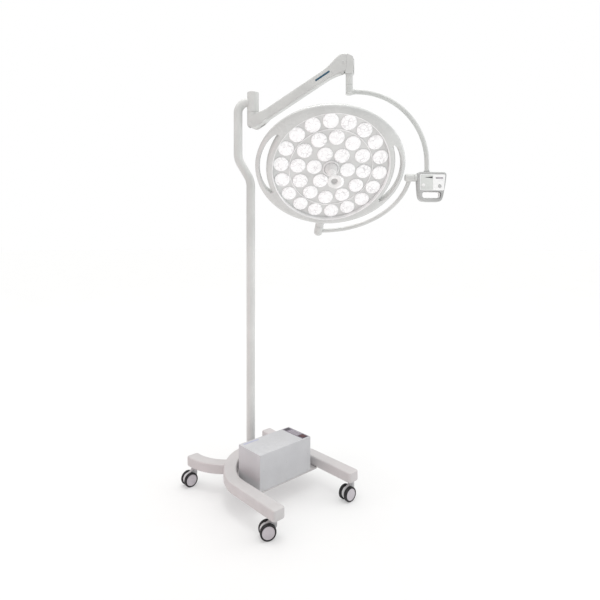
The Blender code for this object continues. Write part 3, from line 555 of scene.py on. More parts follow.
# ------------ casters
hood_side = []                               # round web, with the neck rising ahead of the axle
for d in range(98, 360, 7):
    a, r = radians(d), 0.0262 + 0.0052 * max(0.0, cos(radians((d - 140) * 0.9))) ** 2
    hood_side.append((r * cos(a), r * sin(a)))
hood_side = soften(hood_side + mm(30, 2, 36.8, 10, 38.8, 22, 38.8, 40, 35.5, 44.8, 16.5, 44.8, 13.2, 42,
                                  5, 34.2), 0.0016, 3, True)
tyre_section = soften(mm(25.9, 1.2, 28, 0.3, 30.6, 0.1, 32.4, 2.2, 32.8, 5, 33, 7.3, 32.1, 7.7, 32.1, 9.3,
                         33, 9.7, 32.8, 12, 32.4, 14.8, 30.6, 16.9, 29.2, 16.9, 28.8, 16.3, 27.5, 16.3,
                         25.9, 15.8, up=WHEEL_IN), 0.0012, 4, True)
hub_section = soften(mm(4.3, 0.6, 12, 0.6, 15, 2.6, 21.5, 2.6, 23.2, 1.4, 25.6, 1.4, 25.6, 15.6, 25, 16.6,
                        23.4, 16.6, 22.8, 15.6, 21.2, 15.4, 11.2, 16, 10.4, 15.5, 9.6, 16.7, 5.8, 17.1,
                        0, 17.2, 0, 16.2, 4.3, 16.2, up=WHEEL_IN), 0.0007, 3, True)


def inset_hood(inset):
    return [(x * (1 - inset / 0.034), y * (1 - inset / 0.04) + inset * 0.2) for x, y in hood_side]


stems = {}
for tag, (stem, axle_deg) in CASTERS.items():
    swivel = f"caster_{tag}"
    axle, lead = polar(radians(axle_deg)), polar(radians(axle_deg - 90))
    centre = stem - lead * TRAIL + Z * (FLOOR + WHEEL_R)
    side = axes(centre, lead, Z, -axle)
    stems[tag] = up = axes(stem)
    neck = turned(mm(0, 78, 11, 78, 12.5, 79.5, 12.5, 90.5, 10.8, 91.2, 10.8, 92.4, 12.5, 93, 12.5, 95.5,
                     4.9, 96.2, 4.9, 126, 0, 126), 0.0006, 48)
    piece(f"{swivel}_hood_shell", pillow(inset_hood, -0.0065, 0.0065, 0.0014), HOOD, swivel, side,
          f"{swivel}_hood", [(rod(0.0043, -0.02, 0.02), side)], adds=[(neck, up)])
    piece(f"{swivel}_race_ring", turned(mm(12.6, 89.6, 14, 89.9, 14, 91.7, 12.6, 92), 0.0004, 48, True),
          STEEL, swivel, up)
    for word, sign in (("inner", 1), ("outer", -1)):
        face = axes(centre, lead * sign, Z, axle * -sign)
        wheel = f"wheel_{tag}_{word}"
        piece(f"{wheel}_tyre", lathe(tyre_section, 96, True), TYRE, wheel, face, f"{swivel}_tyre_{word}")
        piece(f"{wheel}_hub", lathe(hub_section, 72, True), HUB, wheel, face, f"{swivel}_hub_{word}")

# ------------ base
END_ROUND = 0.011                            # plan-view radius of the closed leg ends
END_STEPS = [END_ROUND * (1 - cos(pi / 2 * k / 7)) for k in range(8)]


def arch_path():
    """Centre line of the front arch: straight leg ends joined by a rounded apex."""
    half = [Vector((-LEG_X, FRONT_END + k, 0)) for k in END_STEPS]
    p = [Vector((x, y, 0)) for x, y in ((-LEG_X, -0.05), (-LEG_X, 0.05), (-0.1, ARCH_APEX), (0, ARCH_APEX))]
    for k in range(31):
        t, s = k / 30, 1 - k / 30
        half.append(p[0] * s ** 3 + p[1] * 3 * t * s ** 2 + p[2] * 3 * t * t * s + p[3] * t ** 3)
    mirror = [Vector((-q.x, q.y, 0)) for q in half[-2::-1]]
    return [q + Z * (BEAM_Z + BEAM_H / 2) for q in half + mirror]


def end_scale(count, both=True):
    """Section scale along a leg: the ends close over a quarter round, wider than high."""
    scale = [(1.0, 1.0)] * count
    for k in range(8):
        pull = END_ROUND * (1 - sin(pi / 2 * k / 7))
        scale[k] = (1 - 0.55 * pull / BEAM_H, 1 - 2 * pull / BEAM_W)
        if both:
            scale[-1 - k] = scale[k]
    return scale


path = arch_path()
section = rounded(BEAM_H, BEAM_W, 0.0075)
wide = rounded(BEAM_H + 2 * GAP, BEAM_W + 2 * GAP, 0.0075 + GAP)


def stem_bore(tag):
    return rod(0.0054, 0.08, 0.129), stems[tag]


def arch_room():
    """Cutter that keeps other pieces clear of the arch."""
    return sweep(path, wide, Z), HERE


piece("front_arch_beam", sweep(path, section, Z, end_scale(len(path))), BASE_PAINT, "stand",
      replaces="base_arch_front", cuts=[stem_bore("front_left"), stem_bore("front_right")])
for tag, sign in (("left", -1), ("right", 1)):
    leg = [Vector((sign * REAR_ARC_R, REAR_ARC_Y + 0.012 - k, 0)) for k in END_STEPS]
    for k in range(1, 120):
        a = radians(180 + 2 * k)
        leg.append(Vector((-sign * REAR_ARC_R * cos(a), REAR_ARC_Y + REAR_ARC_R * sin(a), 0)))
        if min((leg[-1] - Vector((c.x, c.y, 0))).length for c in path) < 0.022:
            break
    leg = [q + Z * (BEAM_Z + BEAM_H / 2) for q in leg]
    piece(f"rear_leg_beam_{tag}", sweep(leg, section, Z, end_scale(len(leg), False)), BASE_PAINT, "stand",
          replaces=f"base_leg_rear_{tag}", cuts=[arch_room(), stem_bore(f"rear_{tag}")])

piece("hub_cross_block", cuboid((-0.074, 0.074), (0.074, 0.176), (BEAM_Z + 0.001, BEAM_Z + BEAM_H), 0.004,
                                0.003), BASE_PAINT, "stand", replaces="base_hub_block", cuts=[arch_room()])
plate_outline = soften(mm(-196, -118, 196, -118, 196, -10, 100, 150, 60, 185, -60, 185, -100, 150, -196, -10),
                       0.01, 5, True)


def inset_plate(inset):
    return [(x * (1 - inset / 0.2), 0.03 + (y - 0.03) * (1 - inset / 0.15)) for x, y in plate_outline]


piece("base_under_plate", pillow(inset_plate, BEAM_Z - 0.0065, BEAM_Z - GAP, 0.0012, 3), BASE_PAINT, "stand",
      replaces="base_plate")
screws("base_plate_screws", [axes((x, y, BEAM_Z - 0.0064), X, -Y, -Z) for x, y in mm(
    -180, -108, 180, -108, -180, -30, 180, -30, -60, 165, 60, 165, -110, 90, 110, 90)],
    0.0052, 0.0026, 0.0020, "stand")

# ------------ power box
LID = BOX_Z[1]


def rocker_cut():
    return cuboid((ROCKER_X[0] - 0.001, ROCKER_X[1] + 0.001), (ROCKER_Y[0] - 0.0012, ROCKER_Y[1] + 0.0012),
                  (LID - 0.012, LID + 0.02), 0.001, 0.0002), HERE


box_cuts = [
    (cuboid(BOX_X, BOX_Y, (0.09, LID - 0.006), 0.004, 0.0005, -0.003), HERE),
    (cuboid(STATUS_X, STATUS_Y, (LID - 0.003, LID + 0.02), 0.002, 0.0002, GAP), HERE), rocker_cut(),
    (cuboid((INLET_X - 0.014, INLET_X + 0.014), (BOX_Y[1] - 0.02, BOX_Y[1] + 0.02),
            (INLET_Z - 0.0102, INLET_Z + 0.0102), 0.0002, 0.0001), HERE)]
for row in range(5):                         # cooling slots low on the face towards the pole
    for x0 in (-0.120, -0.035):
        box_cuts.append((cuboid((x0, x0 + 0.070), (BOX_Y[1] - 0.01, BOX_Y[1] + 0.01),
                                (0.128 + 0.011 * row, 0.1318 + 0.011 * row), 0.0005, 0.0002), HERE))
case = pillow(lambda inset: rounded(BOX_X[1] - BOX_X[0] - 2 * inset, BOX_Y[1] - BOX_Y[0] - 2 * inset,
                                    max(0.0032 - inset, 0.0006), 7, sum(BOX_X) / 2, sum(BOX_Y) / 2),
              *BOX_Z, 0.0024, 6)
piece("power_box_case", case, CASE_PAINT, "stand", replaces="box_case", cuts=box_cuts)
faces = []
for x in (-0.130, 0.001, 0.132):
    faces += [axes((x, BOX_Y[0] - 0.0001, z), X, Z, -Y) for z in (0.112, 0.185)]
    faces += [axes((x, BOX_Y[1] + 0.0001, 0.112), -X, Z, Y)]
for y in (-0.095, 0.016):
    faces += [axes((BOX_X[0] - 0.0001, y, 0.112), -Y, Z, -X),
              axes((BOX_X[1] + 0.0001, y, 0.112), Y, Z, X)]
screws("box_case_screws", faces, 0.0034, 0.0010, 0.0013, "stand", CASE_PAINT)

piece("status_inset", cuboid(STATUS_X, STATUS_Y, (LID - 0.0027, LID + 0.0006), 0.0018, 0.0004),
      STATUS, "stand", replaces="status_panel", cuts=[rocker_cut()])
keys, lamps = [], []
for y in (-0.0620, -0.0495, -0.0370, -0.0245, -0.0120):
    for col in range(3):
        keys.append((plate(0.0096, 0.0092, 0.0014, 0, 0.0011, 0.0005),
                     moved(STATUS_X[0] + 0.0085 + 0.012 * col, y, LID + 0.0004)))
    lamps.append((turned(mm(0, 0, 1.1, 0, 1.1, 0.9, 0, 0.9), 0.0003, 20),
                  moved(STATUS_X[1] - 0.0042, y, LID + 0.0005)))
piece("status_keys", join(keys), KEY, "stand")
piece("status_lamps", join(lamps), TRIM, "stand")
piece("status_window", cuboid((STATUS_X[0] + 0.005, STATUS_X[1] - 0.006), (0.006, 0.028),
                              (LID + 0.0003, LID + 0.001), 0.0012, 0.0003), DARK, "stand")
piece("rocker_bezel", cuboid((ROCKER_X[0] - 0.0032, ROCKER_X[1] + 0.0032),
                             (ROCKER_Y[0] - 0.0036, ROCKER_Y[1] + 0.0036), (LID + 0.0003, LID + 0.0019),
                             0.002, 0.0007), DARK, "stand", cuts=[rocker_cut()])

reach = (ROCKER_Y[1] - ROCKER_Y[0]) / 2
dished = [(-reach, -0.002), (-0.006, -0.006), (0.006, -0.006), (reach, -0.002), (reach, 0.0074)]
dished += [(reach * t, 0.0058 + 0.0016 * abs(t) ** 1.7) for t in (1 - k / 6 for k in range(1, 12))]
dished.append((-reach, 0.0074))
piece("power_rocker_cap", prism(soften(dished, 0.0006, 3, True), -0.0115, 0.0115), RED, "rocker",
      axes((0.1245, sum(ROCKER_Y) / 2, LID - 0.004), Y, Z, X), "power_rocker", bevel=0.0005)

inlet = mesh_object("mains_inlet_body", cuboid(
    (INLET_X - 0.0137, INLET_X + 0.0137), (BOX_Y[1] - 0.02, BOX_Y[1] + 0.002),
    (INLET_Z - 0.0099, INLET_Z + 0.0099), 0.0003, 0.0002), HERE)
inlet_at = axes((INLET_X, BOX_Y[1], INLET_Z), -X, Z, Y)
cut(inlet, [(plate(0.044, 0.027, 0.005, GAP, 0.0032, 0.0008), inlet_at)], "UNION")
cut(inlet, [(prism(mm(-11.5, -7.8, 11.5, -7.8, 11.5, 3.5, 7.5, 7.8, -7.5, 7.8, -11.5, 3.5), -0.0165, 0.02),
             inlet_at)])
rim_bevel(inlet, 0.0004, 2)
show(inlet, DARK, "stand", "mains_inlet")
pins = [(cuboid((x - 0.0011, x + 0.0011), (-0.0026, 0.0026), (-0.0172, -0.004), 0.0006, 0.0005),
         inlet_at @ moved(0, y, 0)) for x, y in mm(-6.8, -2, 6.8, -2, 0, 2)]
piece("mains_inlet_pins", join(pins), STEEL, "stand")
screws("mains_inlet_screws", [axes((x, BOX_Y[1] + 0.0031, INLET_Z), -X, Z, Y)
                              for x in (INLET_X - 0.0182, INLET_X + 0.0182)], 0.0021, 0.0009, 0.0009, "stand")
piece("box_plain_inlay", plate(0.085, 0.011, 0.003, 0, 0.0004, 0.00015), FAINT, "stand",
      axes((-0.092, 0.021, LID - 0.00005)))

# ------------ pole and sleeve
pole_base, lean = Vector((0, POLE_Y, 0)), polar(POLE_AZ)
piece("pole_foot_flange", turned(
    mm(21.3, 0.2, 44, 0.2, 44, 5, 42.5, 6.5, 30, 7.5, 28.5, 20, 27, 21.5, 21.3, 21.5), 0.0012, 96, True),
    BASE_PAINT, "stand", axes(pole_base + Z * 0.1462), "pole_foot")
screws("pole_foot_bolts", [axes(pole_base + polar(radians(a)) * 0.0368 + Z * 0.1533)
                           for a in (45, 135, 225, 315)], 0.0052, 0.0042, 0.0024, "stand")
bends = fillet_path([(0, POLE_BOTTOM), (0, CRANK_LOW), (CRANK, CRANK_HIGH), (CRANK, ELBOW_Z),
                     (0.004, ELBOW_Z)], (0.10, 0.10, ELBOW_R), 18)
sleeve_base = pole_base - lean * SLEEVE_OFF
sleeve_at = axes(sleeve_base)
piece("pole_bent_tube", sweep([pole_base + lean * q.x + Z * q.y for q in bends], circle(POLE_R, 64),
                              lean.cross(Z).normalized()), PAINT, "stand", replaces="pole_tube",
      cuts=[(rod(SLEEVE_R + GAP, SLEEVE_Z0 - 0.01, SLEEVE_Z1 + 0.01, 96), sleeve_at)])
piece("pole_top_sleeve", turned(
    mm(0, 98.4, 21.5, 98.4, 22, 97.6, 22.8, 97.6, 23.3, 99.6, 27.3, 99.6, 28.5, 97.1, 28.5, 1, 27.5, 0,
       16.5, 0, 16.5, 90.2, 0, 90.2, up=SLEEVE_Z0), 0.0008, 96), PAINT, "stand", sleeve_at, "pole_sleeve")

# ------------ spring arm
out = polar(ARM_AZ)
across = out.cross(Z)


def arm_point(r, z):
    return sleeve_base + out * r + Z * z


arm_at = axes(sleeve_base, out, Z, across)
pivot_b, pivot_t = arm_point(*ARM_B), arm_point(*ARM_T)
pin_b, pin_t = axes(pivot_b, out, Z, across), axes(pivot_t, out, Z, across)
HALF_W, HALF_TONGUE = ARM_WIDTH / 2, TONGUE_W / 2


def pin_bore(at):
    return rod(0.0053, -0.04, 0.04), at


piece("arm_base_turret", turned(
    mm(0, 86.2, 10, 86.2, 11, 85.2, 11, -0.3, 27.5, -0.3, 28.5, -1.8, 28.5, -53.8, 27.2, -62.3, 23.5, -68.3,
       17, -72.8, 0, -74.8, up=SLEEVE_Z0), 0.003, 96), PAINT, "arm_base", sleeve_at, "arm_base_knuckle",
    [(prism(mm(-17.2, 1700, 50, 1700, 50, 1797.5, -17.2, 1787), -HALF_W - 0.0005, HALF_W + 0.0005), arm_at),
     pin_bore(pin_b)],
    adds=[(turned(mm(0, -28.5, 26.5, -28.5, 26.5, 28.5, 0, 28.5), 0.006, 72), pin_b)])

along, length = (pivot_t - pivot_b).normalized(), (pivot_t - pivot_b).length
beam_at = axes(pivot_b, along, across.cross(along), across)


def beam_outline(inset):
    """Side view of the beam: round lower end, straight run, flared round upper end."""
    h, f = BEAM_HALF - inset, FORK_R - inset
    points = [(h * cos(radians(a)), h * sin(radians(a))) for a in range(90, 271, 5)]
    points += [(length - x, -h - y) for x, y in mm(110, 0, 85, 1.2, 60, 5, 30, 12.5)]
    points += [(length + f * cos(radians(a)), f * sin(radians(a)))
               for a in range(-90, 91, 5)]
    return points + [(length - x, h + y) for x, y in mm(20, 14.5, 45, 8, 70, 2.2, 95, 0)]


beam = mesh_object("arm_beam_casting", pillow(beam_outline, -HALF_W, HALF_W, 0.007, 8), beam_at)
cut(beam, [(slab((0.020, length - 0.02), (-0.0205, 0.0205), (-HALF_W + 0.004, HALF_W - 0.004)), beam_at),
           (slab((length - 0.034, length + 0.07), (-0.07, 0.07), (-HALF_TONGUE - GAP, HALF_TONGUE + GAP)),
            beam_at), pin_bore(pin_b), pin_bore(pin_t)])
for z0 in (-HALF_W - 0.01, HALF_W - 0.0006):                     # shallow joint lines of the end covers
    for x0 in (0.034, length - 0.066):
        cut(beam, [(slab((x0, x0 + 0.0007), (-0.06, 0.06), (z0, z0 + 0.0106)), beam_at)])
nose_web = [(length + x, y) for x, y in mm(-35, -4, -35, -33.5, -18.6, -36.8, -17.6, -29, -20.5, -8)]
cut(beam, [(prism(nose_web, -HALF_TONGUE - 0.001, HALF_TONGUE + 0.001), beam_at)], "UNION")
show(beam, PAINT, "arm", "arm_beam")

COVER_IN, COVER_OUT, CHEEK_R = 0.0288, 0.0304, 0.0262
rings = []                                   # elbow cover: a round cheek that flares back into the beam
for k in range(25):
    x = -CHEEK_R + 0.1262 * k / 24
    run = min(1.0, max(0.0, (x - 0.03) / 0.07))
    ease = run * run * (3 - 2 * run)
    half = CHEEK_R - 0.0065 * ease if x > 0 else sqrt(max(CHEEK_R ** 2 - x ** 2, 0.003 ** 2))
    skin = COVER_OUT - (COVER_OUT - HALF_W - 0.0002) * ease
    low = COVER_IN if x < 0.04 else HALF_W - 0.004
    soft = min(0.0012, (skin - low) * 0.4)
    upper = [(half, skin - soft), (half - 1.4 * soft, skin - 0.25 * soft), (half - 3 * soft, skin)]
    edge = [(-half, low), (half, low), *upper, *((-y, z) for y, z in upper[::-1])]
    rings.append([(x, y, z) for y, z in edge])
cap = mm(0, 0, 8, 0, 8, 0.6, 7, 1.1, 3, 1.1, 2.6, 0.6, 0, 0.6)
for s, side in ((-1, "far"), (1, "near")):
    turn = HERE if s > 0 else Matrix.Rotation(pi, 4, "X")
    piece(f"arm_elbow_cover_{side}", loft([[(x, y, s * z) for x, y, z in ring] for ring in rings]), PAINT,
          "arm", beam_at)
    piece(f"arm_pivot_caps_{side}", join(
        [(turned(cap, 0.0003, 48), at @ moved(0, 0, s * face) @ turn)
         for at, face in ((pin_b, COVER_OUT - 0.0003), (pin_t, HALF_W - 0.0003))]), PAINT, "arm")
    piece(f"arm_plain_inlay_{side}", plate(0.078, 0.0088, 0.0028, 0, 0.0004, 0.00015), BLUE, "arm",
          beam_at @ moved(length - 0.112, 0.0005, s * HALF_W) @ turn)

drop_axis = arm_point(ARM_REACH, 0)
drop_at = axes(drop_axis)
tongue = soften(mm(-16.5, 12, -19, -2, -12, -16.5, 7, -40, 9.7, -56, 42.5, -56, 42.5, -36, 45, -10, 46, 14.4,
                   2, 40.5, -6, 36), 0.0022, 4, True)
tip = mesh_object("arm_tip_casting", prism(tongue, -HALF_TONGUE, HALF_TONGUE), pin_t)
rim_bevel(tip, 0.0018, 3, 50.0)
cut(tip, [(turned(mm(0, 63, 12.5, 63, 16.5, 55, 16.5, 1, 15.5, 0, 0, 0, up=DROP_Z), 0.001, 72), drop_at)],
    "UNION")
cut(tip, [(rod(0.0094, DROP_Z - 0.02, DROP_Z + 0.05, 36), drop_at), pin_bore(pin_t)])
show(tip, PAINT, "arm_tip", "arm_tip_knuckle")
# side covers of the drop housing: upright edge over the nose, sloped top, closed at the front
SEAM_R, FOOT_R, RIGHT_R = 0.4665, 0.4598, 0.4950
cover = soften([(SEAM_R, 1.969), (FOOT_R, 1.96), (FOOT_R, 1.949), (FOOT_R + 0.002, 1.947),
                (RIGHT_R - 0.0045, 1.947), (RIGHT_R, 1.956), (RIGHT_R, 2.0226), (SEAM_R, 2.0384)],
               0.0022, 4, True)
for s, side in ((-1, "far"), (1, "near")):
    piece(f"arm_tip_seam_{side}", plate(0.0012, 0.064, 0.0003, 0, 0.0006, 0.00015), SHELL, "arm_tip",
          arm_at @ moved(SEAM_R - 0.0008, 2.0022, s * (HALF_W + 0.0006 - 0.0003 * s)))
    ends = sorted((s * (HALF_TONGUE - 0.0005), s * (HALF_W + 0.002)))
    nose_room = rod(FORK_R + 0.0004, -HALF_W - GAP, HALF_W + GAP, 96)      # the beam's end turns in it
    piece(f"arm_tip_cover_{side}", prism(cover, *ends), PAINT, "arm_tip", arm_at,
          cuts=[(nose_room, pin_t)], bevel=0.0005)

# ------------ outer yoke
yoke = polar(YOKE_AZ)
front = yoke.cross(Z)


def yoke_point(p, z):
    return drop_axis + yoke * p + Z * z


piece("yoke_drop_hub", turned(
    mm(0, 45, 8, 45, 9, 44, 9, -0.3, 15.5, -0.3, 16.5, -1.5, 16.5, -36, 17.6, -37, 17.6, -40.1, 16.1, -41.6,
       0, -41.6, up=DROP_Z), 0.0006, 72), PAINT, "yoke", drop_at, "yoke_hub",
    adds=[(turned(mm(0, 4, 12.5, 4, 12.5, 23.8, 11.4, 26.2, 0, 26.2), 0.001, 48),
           axes(yoke_point(0, YOKE_TOP), Z, front, yoke))])
YOKE_OUT = YOKE_BEND_P + YOKE_BEND
bend = [(YOKE_BEND_P + YOKE_BEND * sin(a), YOKE_TOP - YOKE_BEND + YOKE_BEND * cos(a))
        for a in (pi / 2 * k / 48 for k in range(49))]
piece("yoke_outer_arc", sweep([yoke_point(p, z) for p, z in [(0.0265, YOKE_TOP), *bend, (YOKE_OUT, 1.499)]],
                              circle(YOKE_TUBE_R, 40), front), PAINT, "yoke", replaces="yoke_outer_tube")
piece("yoke_arc_collar", turned(mm(11.1, 0, 15, 0, 15, 5, 13.5, 6.8, 11.1, 7.6), 0.0008, 48, True), SHELL,
      "yoke", axes(yoke_point(YOKE_OUT, 1.4987)))

# ------------ control panel
MID_Z, HALF_D = 1.4287, PANEL_DEPTH / 2
shell_outline = soften(mm(-60, 1498.6, -68.5, 1493, -71.2, 1484, -71.2, 1456, -69, 1420, -66, 1386, -61, 1370,
                          -48, 1361, -28, 1358.8, 25, 1358.8, 37, 1360.6, 47, 1368, 53, 1384, 60, 1420,
                          65.5, 1450, 70, 1484, 68, 1493, 60, 1498.6), 0.0065, 5, True)
panel_at = axes(yoke_point(PANEL_P, 0), yoke, Z, front)


def shell_inset(inset):
    kx, kz = 1 - inset / 0.0712, 1 - inset / 0.0699
    return [(x * kx, MID_Z + (z - MID_Z) * kz) for x, z in shell_outline]


def grip_outline(grow):
    """Outline of the grip slot, let out by `grow`."""
    return rounded(0.088 + 2 * grow, 0.03 + 2 * grow, 0.012 + grow, 8, -0.0045, 1.3905)


def film_outline(inset):
    """Outline of the panel's face: its right side leans in towards the grip."""
    return soften([(-0.06 + inset, 1.4115 + inset), (0.0545 - inset, 1.4115 + inset),
                   (0.062 - inset, 1.487 - inset), (-0.06 + inset, 1.487 - inset)], 0.0055, 5, True)


# x, z, radius and finish of each button
BUTTONS = {"lamp": (-0.0440, 1.4365, 0.0060, BUTTON), "mode": (0.0345, 1.4325, 0.0075, BUTTON_GREY)}


def wells(grow=0.0004, tags=tuple(BUTTONS)):
    """Cutters for the holes that the buttons stand in."""
    return [(rod(BUTTONS[tag][2] + grow, -0.0075, 0.02, 48), well_at(tag)) for tag in tags]


def well_at(tag):
    x, z = BUTTONS[tag][:2]
    return axes(panel_at @ Vector((x, z, HALF_D)), yoke, Z, front)


grip = pillow(lambda inset: grip_outline(max(0.0, 0.006 - inset)), -HALF_D - 0.0002, HALF_D + 0.0002,
              0.006, 6)
recess = pillow(lambda inset: film_outline(inset - GAP), HALF_D - 0.002, HALF_D + 0.02, 0.0001)
piece("panel_moulding", pillow(shell_inset, -HALF_D, HALF_D, 0.0062, 6), SHELL, "yoke", panel_at,
      "panel_housing", [(grip, panel_at), (recess, panel_at), *wells()])
slot_light_band = [[(x, z, depth) for x, z in grip_outline(-inset)]       # pale band in the middle of the grip slot: painted light that brightens the shaded wall inside the slot
          for inset, depth in mm(0.1, -12.5, 0.1, 12.5, 1.4, 12.5, 1.4, -12.5)]
piece("panel_grip_light_band", loft(slot_light_band, True), TRIM, "yoke", panel_at)
piece("panel_film", pillow(film_outline, HALF_D - 0.0017, HALF_D + 0.0004, 0.0003), GLOWING_PANEL, "yoke", panel_at,
      "panel_face", wells())
piece("panel_left_field", plate(0.06, 0.071, 0.0045, HALF_D + 0.0003, HALF_D + 0.0006, 0.0001, -0.0275,
                                1.4492), PANEL_GREY, "yoke", panel_at, cuts=wells(0.0014, ["lamp"]))
piece("panel_level_wedge", prism(soften(mm(-40, 1472.2, 0, 1468.4, 0, 1476.6), 0.0004, 2, True),
                                 HALF_D + 0.0004, HALF_D + 0.0009), DARK, "yoke", panel_at)
bars = [(plate(0.0052, 0.0072, 0.0008, 0, 0.0009, 0.0003),
         panel_at @ moved(0.018 + 0.006 * k, 1.47, HALF_D + 0.0002)) for k in range(6)]
piece("panel_level_bars", join(bars), KEY, "yoke")
for tag, (_, _, r, finish) in BUTTONS.items():
    piece(f"panel_{tag}_cap", turned([(0, -0.0055), (r, -0.0055), (r, 0.001), (r - 0.0012, 0.0022),
                                      (r * 0.45, 0.0024), (0, 0.002)], 0.0007, 48), finish,
          f"button_{tag}", well_at(tag), f"panel_button_{tag}")
    piece(f"panel_{tag}_bezel", turned([(r + 0.0006, 0.0003), (r + 0.0022, 0.0003), (r + 0.002, 0.001),
                                        (r + 0.001, 0.0012)], 0.0003, 48, True), TRIM, "yoke", well_at(tag))
screws("panel_back_screws", [panel_at @ axes((x, z, -HALF_D + 0.0004), -X, Y, -Z)
                             for x, z in mm(-52, 1484, 52, 1484, -52, 1420, 52, 1420)],
       0.0032, 0.0014, 0.0013, "yoke")

# ------------ pitch pivot and inner yoke
pitch_at = axes(yoke_point(0, PITCH_Z), Z, front, yoke)
piece("pitch_pivot_shaft", turned(
    mm(0, 272, 7.5, 272, 8, 273, 8, 303.8, 16.8, 303.8, 17.8, 304.8, 17.8, 318, 16.8, 319, 0, 319),
    0.0006, 72), PAINT, "yoke", pitch_at, "pitch_pivot")
piece("inner_yoke_hub", turned(
    mm(0, 264.4, 14.3, 264.4, 17.8, 268, 17.8, 302.5, 16.8, 303.5, 8.3, 303.5, 8.3, 270.5, 0, 270.5),
    0.001, 72), PAINT, "inner_yoke", pitch_at, "inner_yoke_boss")

normal = polar(YOKE_AZ - pi / 2) * cos(HEAD_TILT) - Z * sin(HEAD_TILT)
plain_up = normal.cross(yoke)
up_v = plain_up * cos(HEAD_ROLL) + yoke * sin(HEAD_ROLL)
right_u = yoke * cos(HEAD_ROLL) - plain_up * sin(HEAD_ROLL)
arc_centre = yoke_point(PITCH_BACK, PITCH_Z)
head_centre = arc_centre + up_v * HEAD_OFF
head_at = axes(head_centre, right_u, up_v, normal)
stub_at = axes(head_centre, right_u, -normal, -up_v)
inner = [arc_centre + yoke * (INNER_A * cos(a)) - plain_up * (INNER_B * sin(a))
         for a in (radians(1.0 + 89.0 * k / 60) for k in range(61))]
inner.append(inner[-1] - yoke * 0.012)
piece("inner_yoke_arc", sweep(inner, circle(INNER_TUBE_R, 36), normal), PAINT, "inner_yoke",
      replaces="inner_yoke_tube", cuts=[(rod(BOSS_R + GAP, 0.25, 0.32, 64), pitch_at),
                                        (rod(STUB_R + GAP, 0.31, 0.40, 64), stub_at)])
piece("inner_yoke_end_cup", turned(
    mm(0, 373.5, 8.3, 373.5, 8.3, 326.3, 19.5, 326.3, 20.5, 327.3, 20.5, 365.5, 19.2, 373.5, 14.8, 378.8,
       0, 381.5), 0.0022, 72), PAINT, "inner_yoke", stub_at, "inner_yoke_bearing")


# ------------ head
STRETCH_FROM = 0.2700                        # inside this radius the head is round, outside it is oval
RING = mm(256, 12, 264, 12, 264, 30, 266.2, 34, 270, 34.5, 278, 33.4, 285, 31.2, 290.5, 28.4, 295, 24.6,
          298, 20.2, 299, 15, 298.5, 8, 296.8, 0, 293, -7, 285, -13.5, 272, -18.5, 264, -20.5, 263.4, -19,
          256, -16)
RIM_FRONT, RIM_BACK = RING[3:11], RING[10:17][::-1]


def rim(a):
    """Oval outline radius of the head at an angle in its own plane."""
    return 1 / sqrt((cos(a) / HEAD_RU) ** 2 + (sin(a) / HEAD_RV) ** 2)


def ring_shape(a, r, z):
    """Stretch the ring out to the oval, or to a grip slot's inner edge where one is open."""
    if r <= STRETCH_FROM:
        return r, z
    from_side = min(abs((a + pi) % TAU - pi), abs(a - pi))
    reach = RING_R if from_side < SLOT_HALF else rim(a)
    return STRETCH_FROM + (r - STRETCH_FROM) * (reach - STRETCH_FROM) / (HEAD_RV - STRETCH_FROM), z


def rim_height(r, a, side):
    """Front or back surface height of the full oval body at radius r and angle a."""
    k = (HEAD_RV - STRETCH_FROM) / (rim(a) - STRETCH_FROM)
    x = STRETCH_FROM + (r - STRETCH_FROM) * k if r > STRETCH_FROM else r
    for (r0, z0), (r1, z1) in zip(side, side[1:]):
        if r0 <= x <= r1:
            return z0 + (z1 - z0) * (x - r0) / (r1 - r0)
    return side[-1][1]


def grip_loop(sign):
    """One grip loop: a rounded bar that runs on into the ring past both slot ends."""
    rings, steps, half, over = [], 60, 9, radians(6.5)
    for k in range(steps + 1):
        a = (SLOT_HALF + over) * (2 * k / steps - 1)
        t = a / SLOT_HALF
        width = (HEAD_RU - LOOP_W - RING_R) * max(0.0, 1 - t * t) ** 0.62
        if abs(t) > 1:
            width = -0.016 * min(1.0, (abs(a) - SLOT_HALF) / over * 1.4)
        inner_r, outer_r = RING_R + width, rim(a) - 0.00015
        mid = (rim_height(inner_r, a, RIM_FRONT) + rim_height(inner_r, a, RIM_BACK)) / 2
        ring = []                            # over the front from the inner edge, and back behind
        for side, sink, order in ((RIM_FRONT, -0.0001, range(half + 1)),
                                  (RIM_BACK, 0.0001, range(half - 1, 0, -1))):
            for s in order:
                r = inner_r + (outer_r - inner_r) * (1 - cos(pi * s / half)) / 2
                ease = min(1.0, (r - inner_r) / 0.0065)
                z = mid + (rim_height(r, a, side) - mid) * sqrt(1 - (1 - ease) ** 2) + sink
                ring.append((sign * r * cos(a), r * sin(a), z))
        rings.append(ring)
    return loft(rings), head_at


piece("head_outer_ring", lathe(RING, 288, True, ring_shape), HEAD_PAINT, "head", head_at, "head_housing",
      adds=[grip_loop(-1), grip_loop(1)])
piece("head_back_cover", turned(
    mm(255, -16.8, 262.2, -19.2, 261.5, -22.2, 240, -26.2, 190, -30.2, 100, -33, 0, -34, 0, -29, 200, -24),
    0.004, 160, True), HEAD_PAINT, "head", head_at)
screws("head_cover_screws", [head_at @ (Matrix.Rotation(radians(22.5 + 45 * k), 4, "Z")
                                        @ axes((0.2465, 0, -0.0248), X, -Y, -Z)) for k in range(8)],
       0.0040, 0.0022, 0.0016, "head")
piece("head_stub_neck", turned(
    mm(0, 280, 20.5, 280, 26.2, 293, 25.8, 298.5, 22.5, 306, 20.5, 314, 20.5, 325, 19.5, 326, 8, 326, 8, 370,
       0, 370), 0.0028, 72), HEAD_PAINT, "head", stub_at)

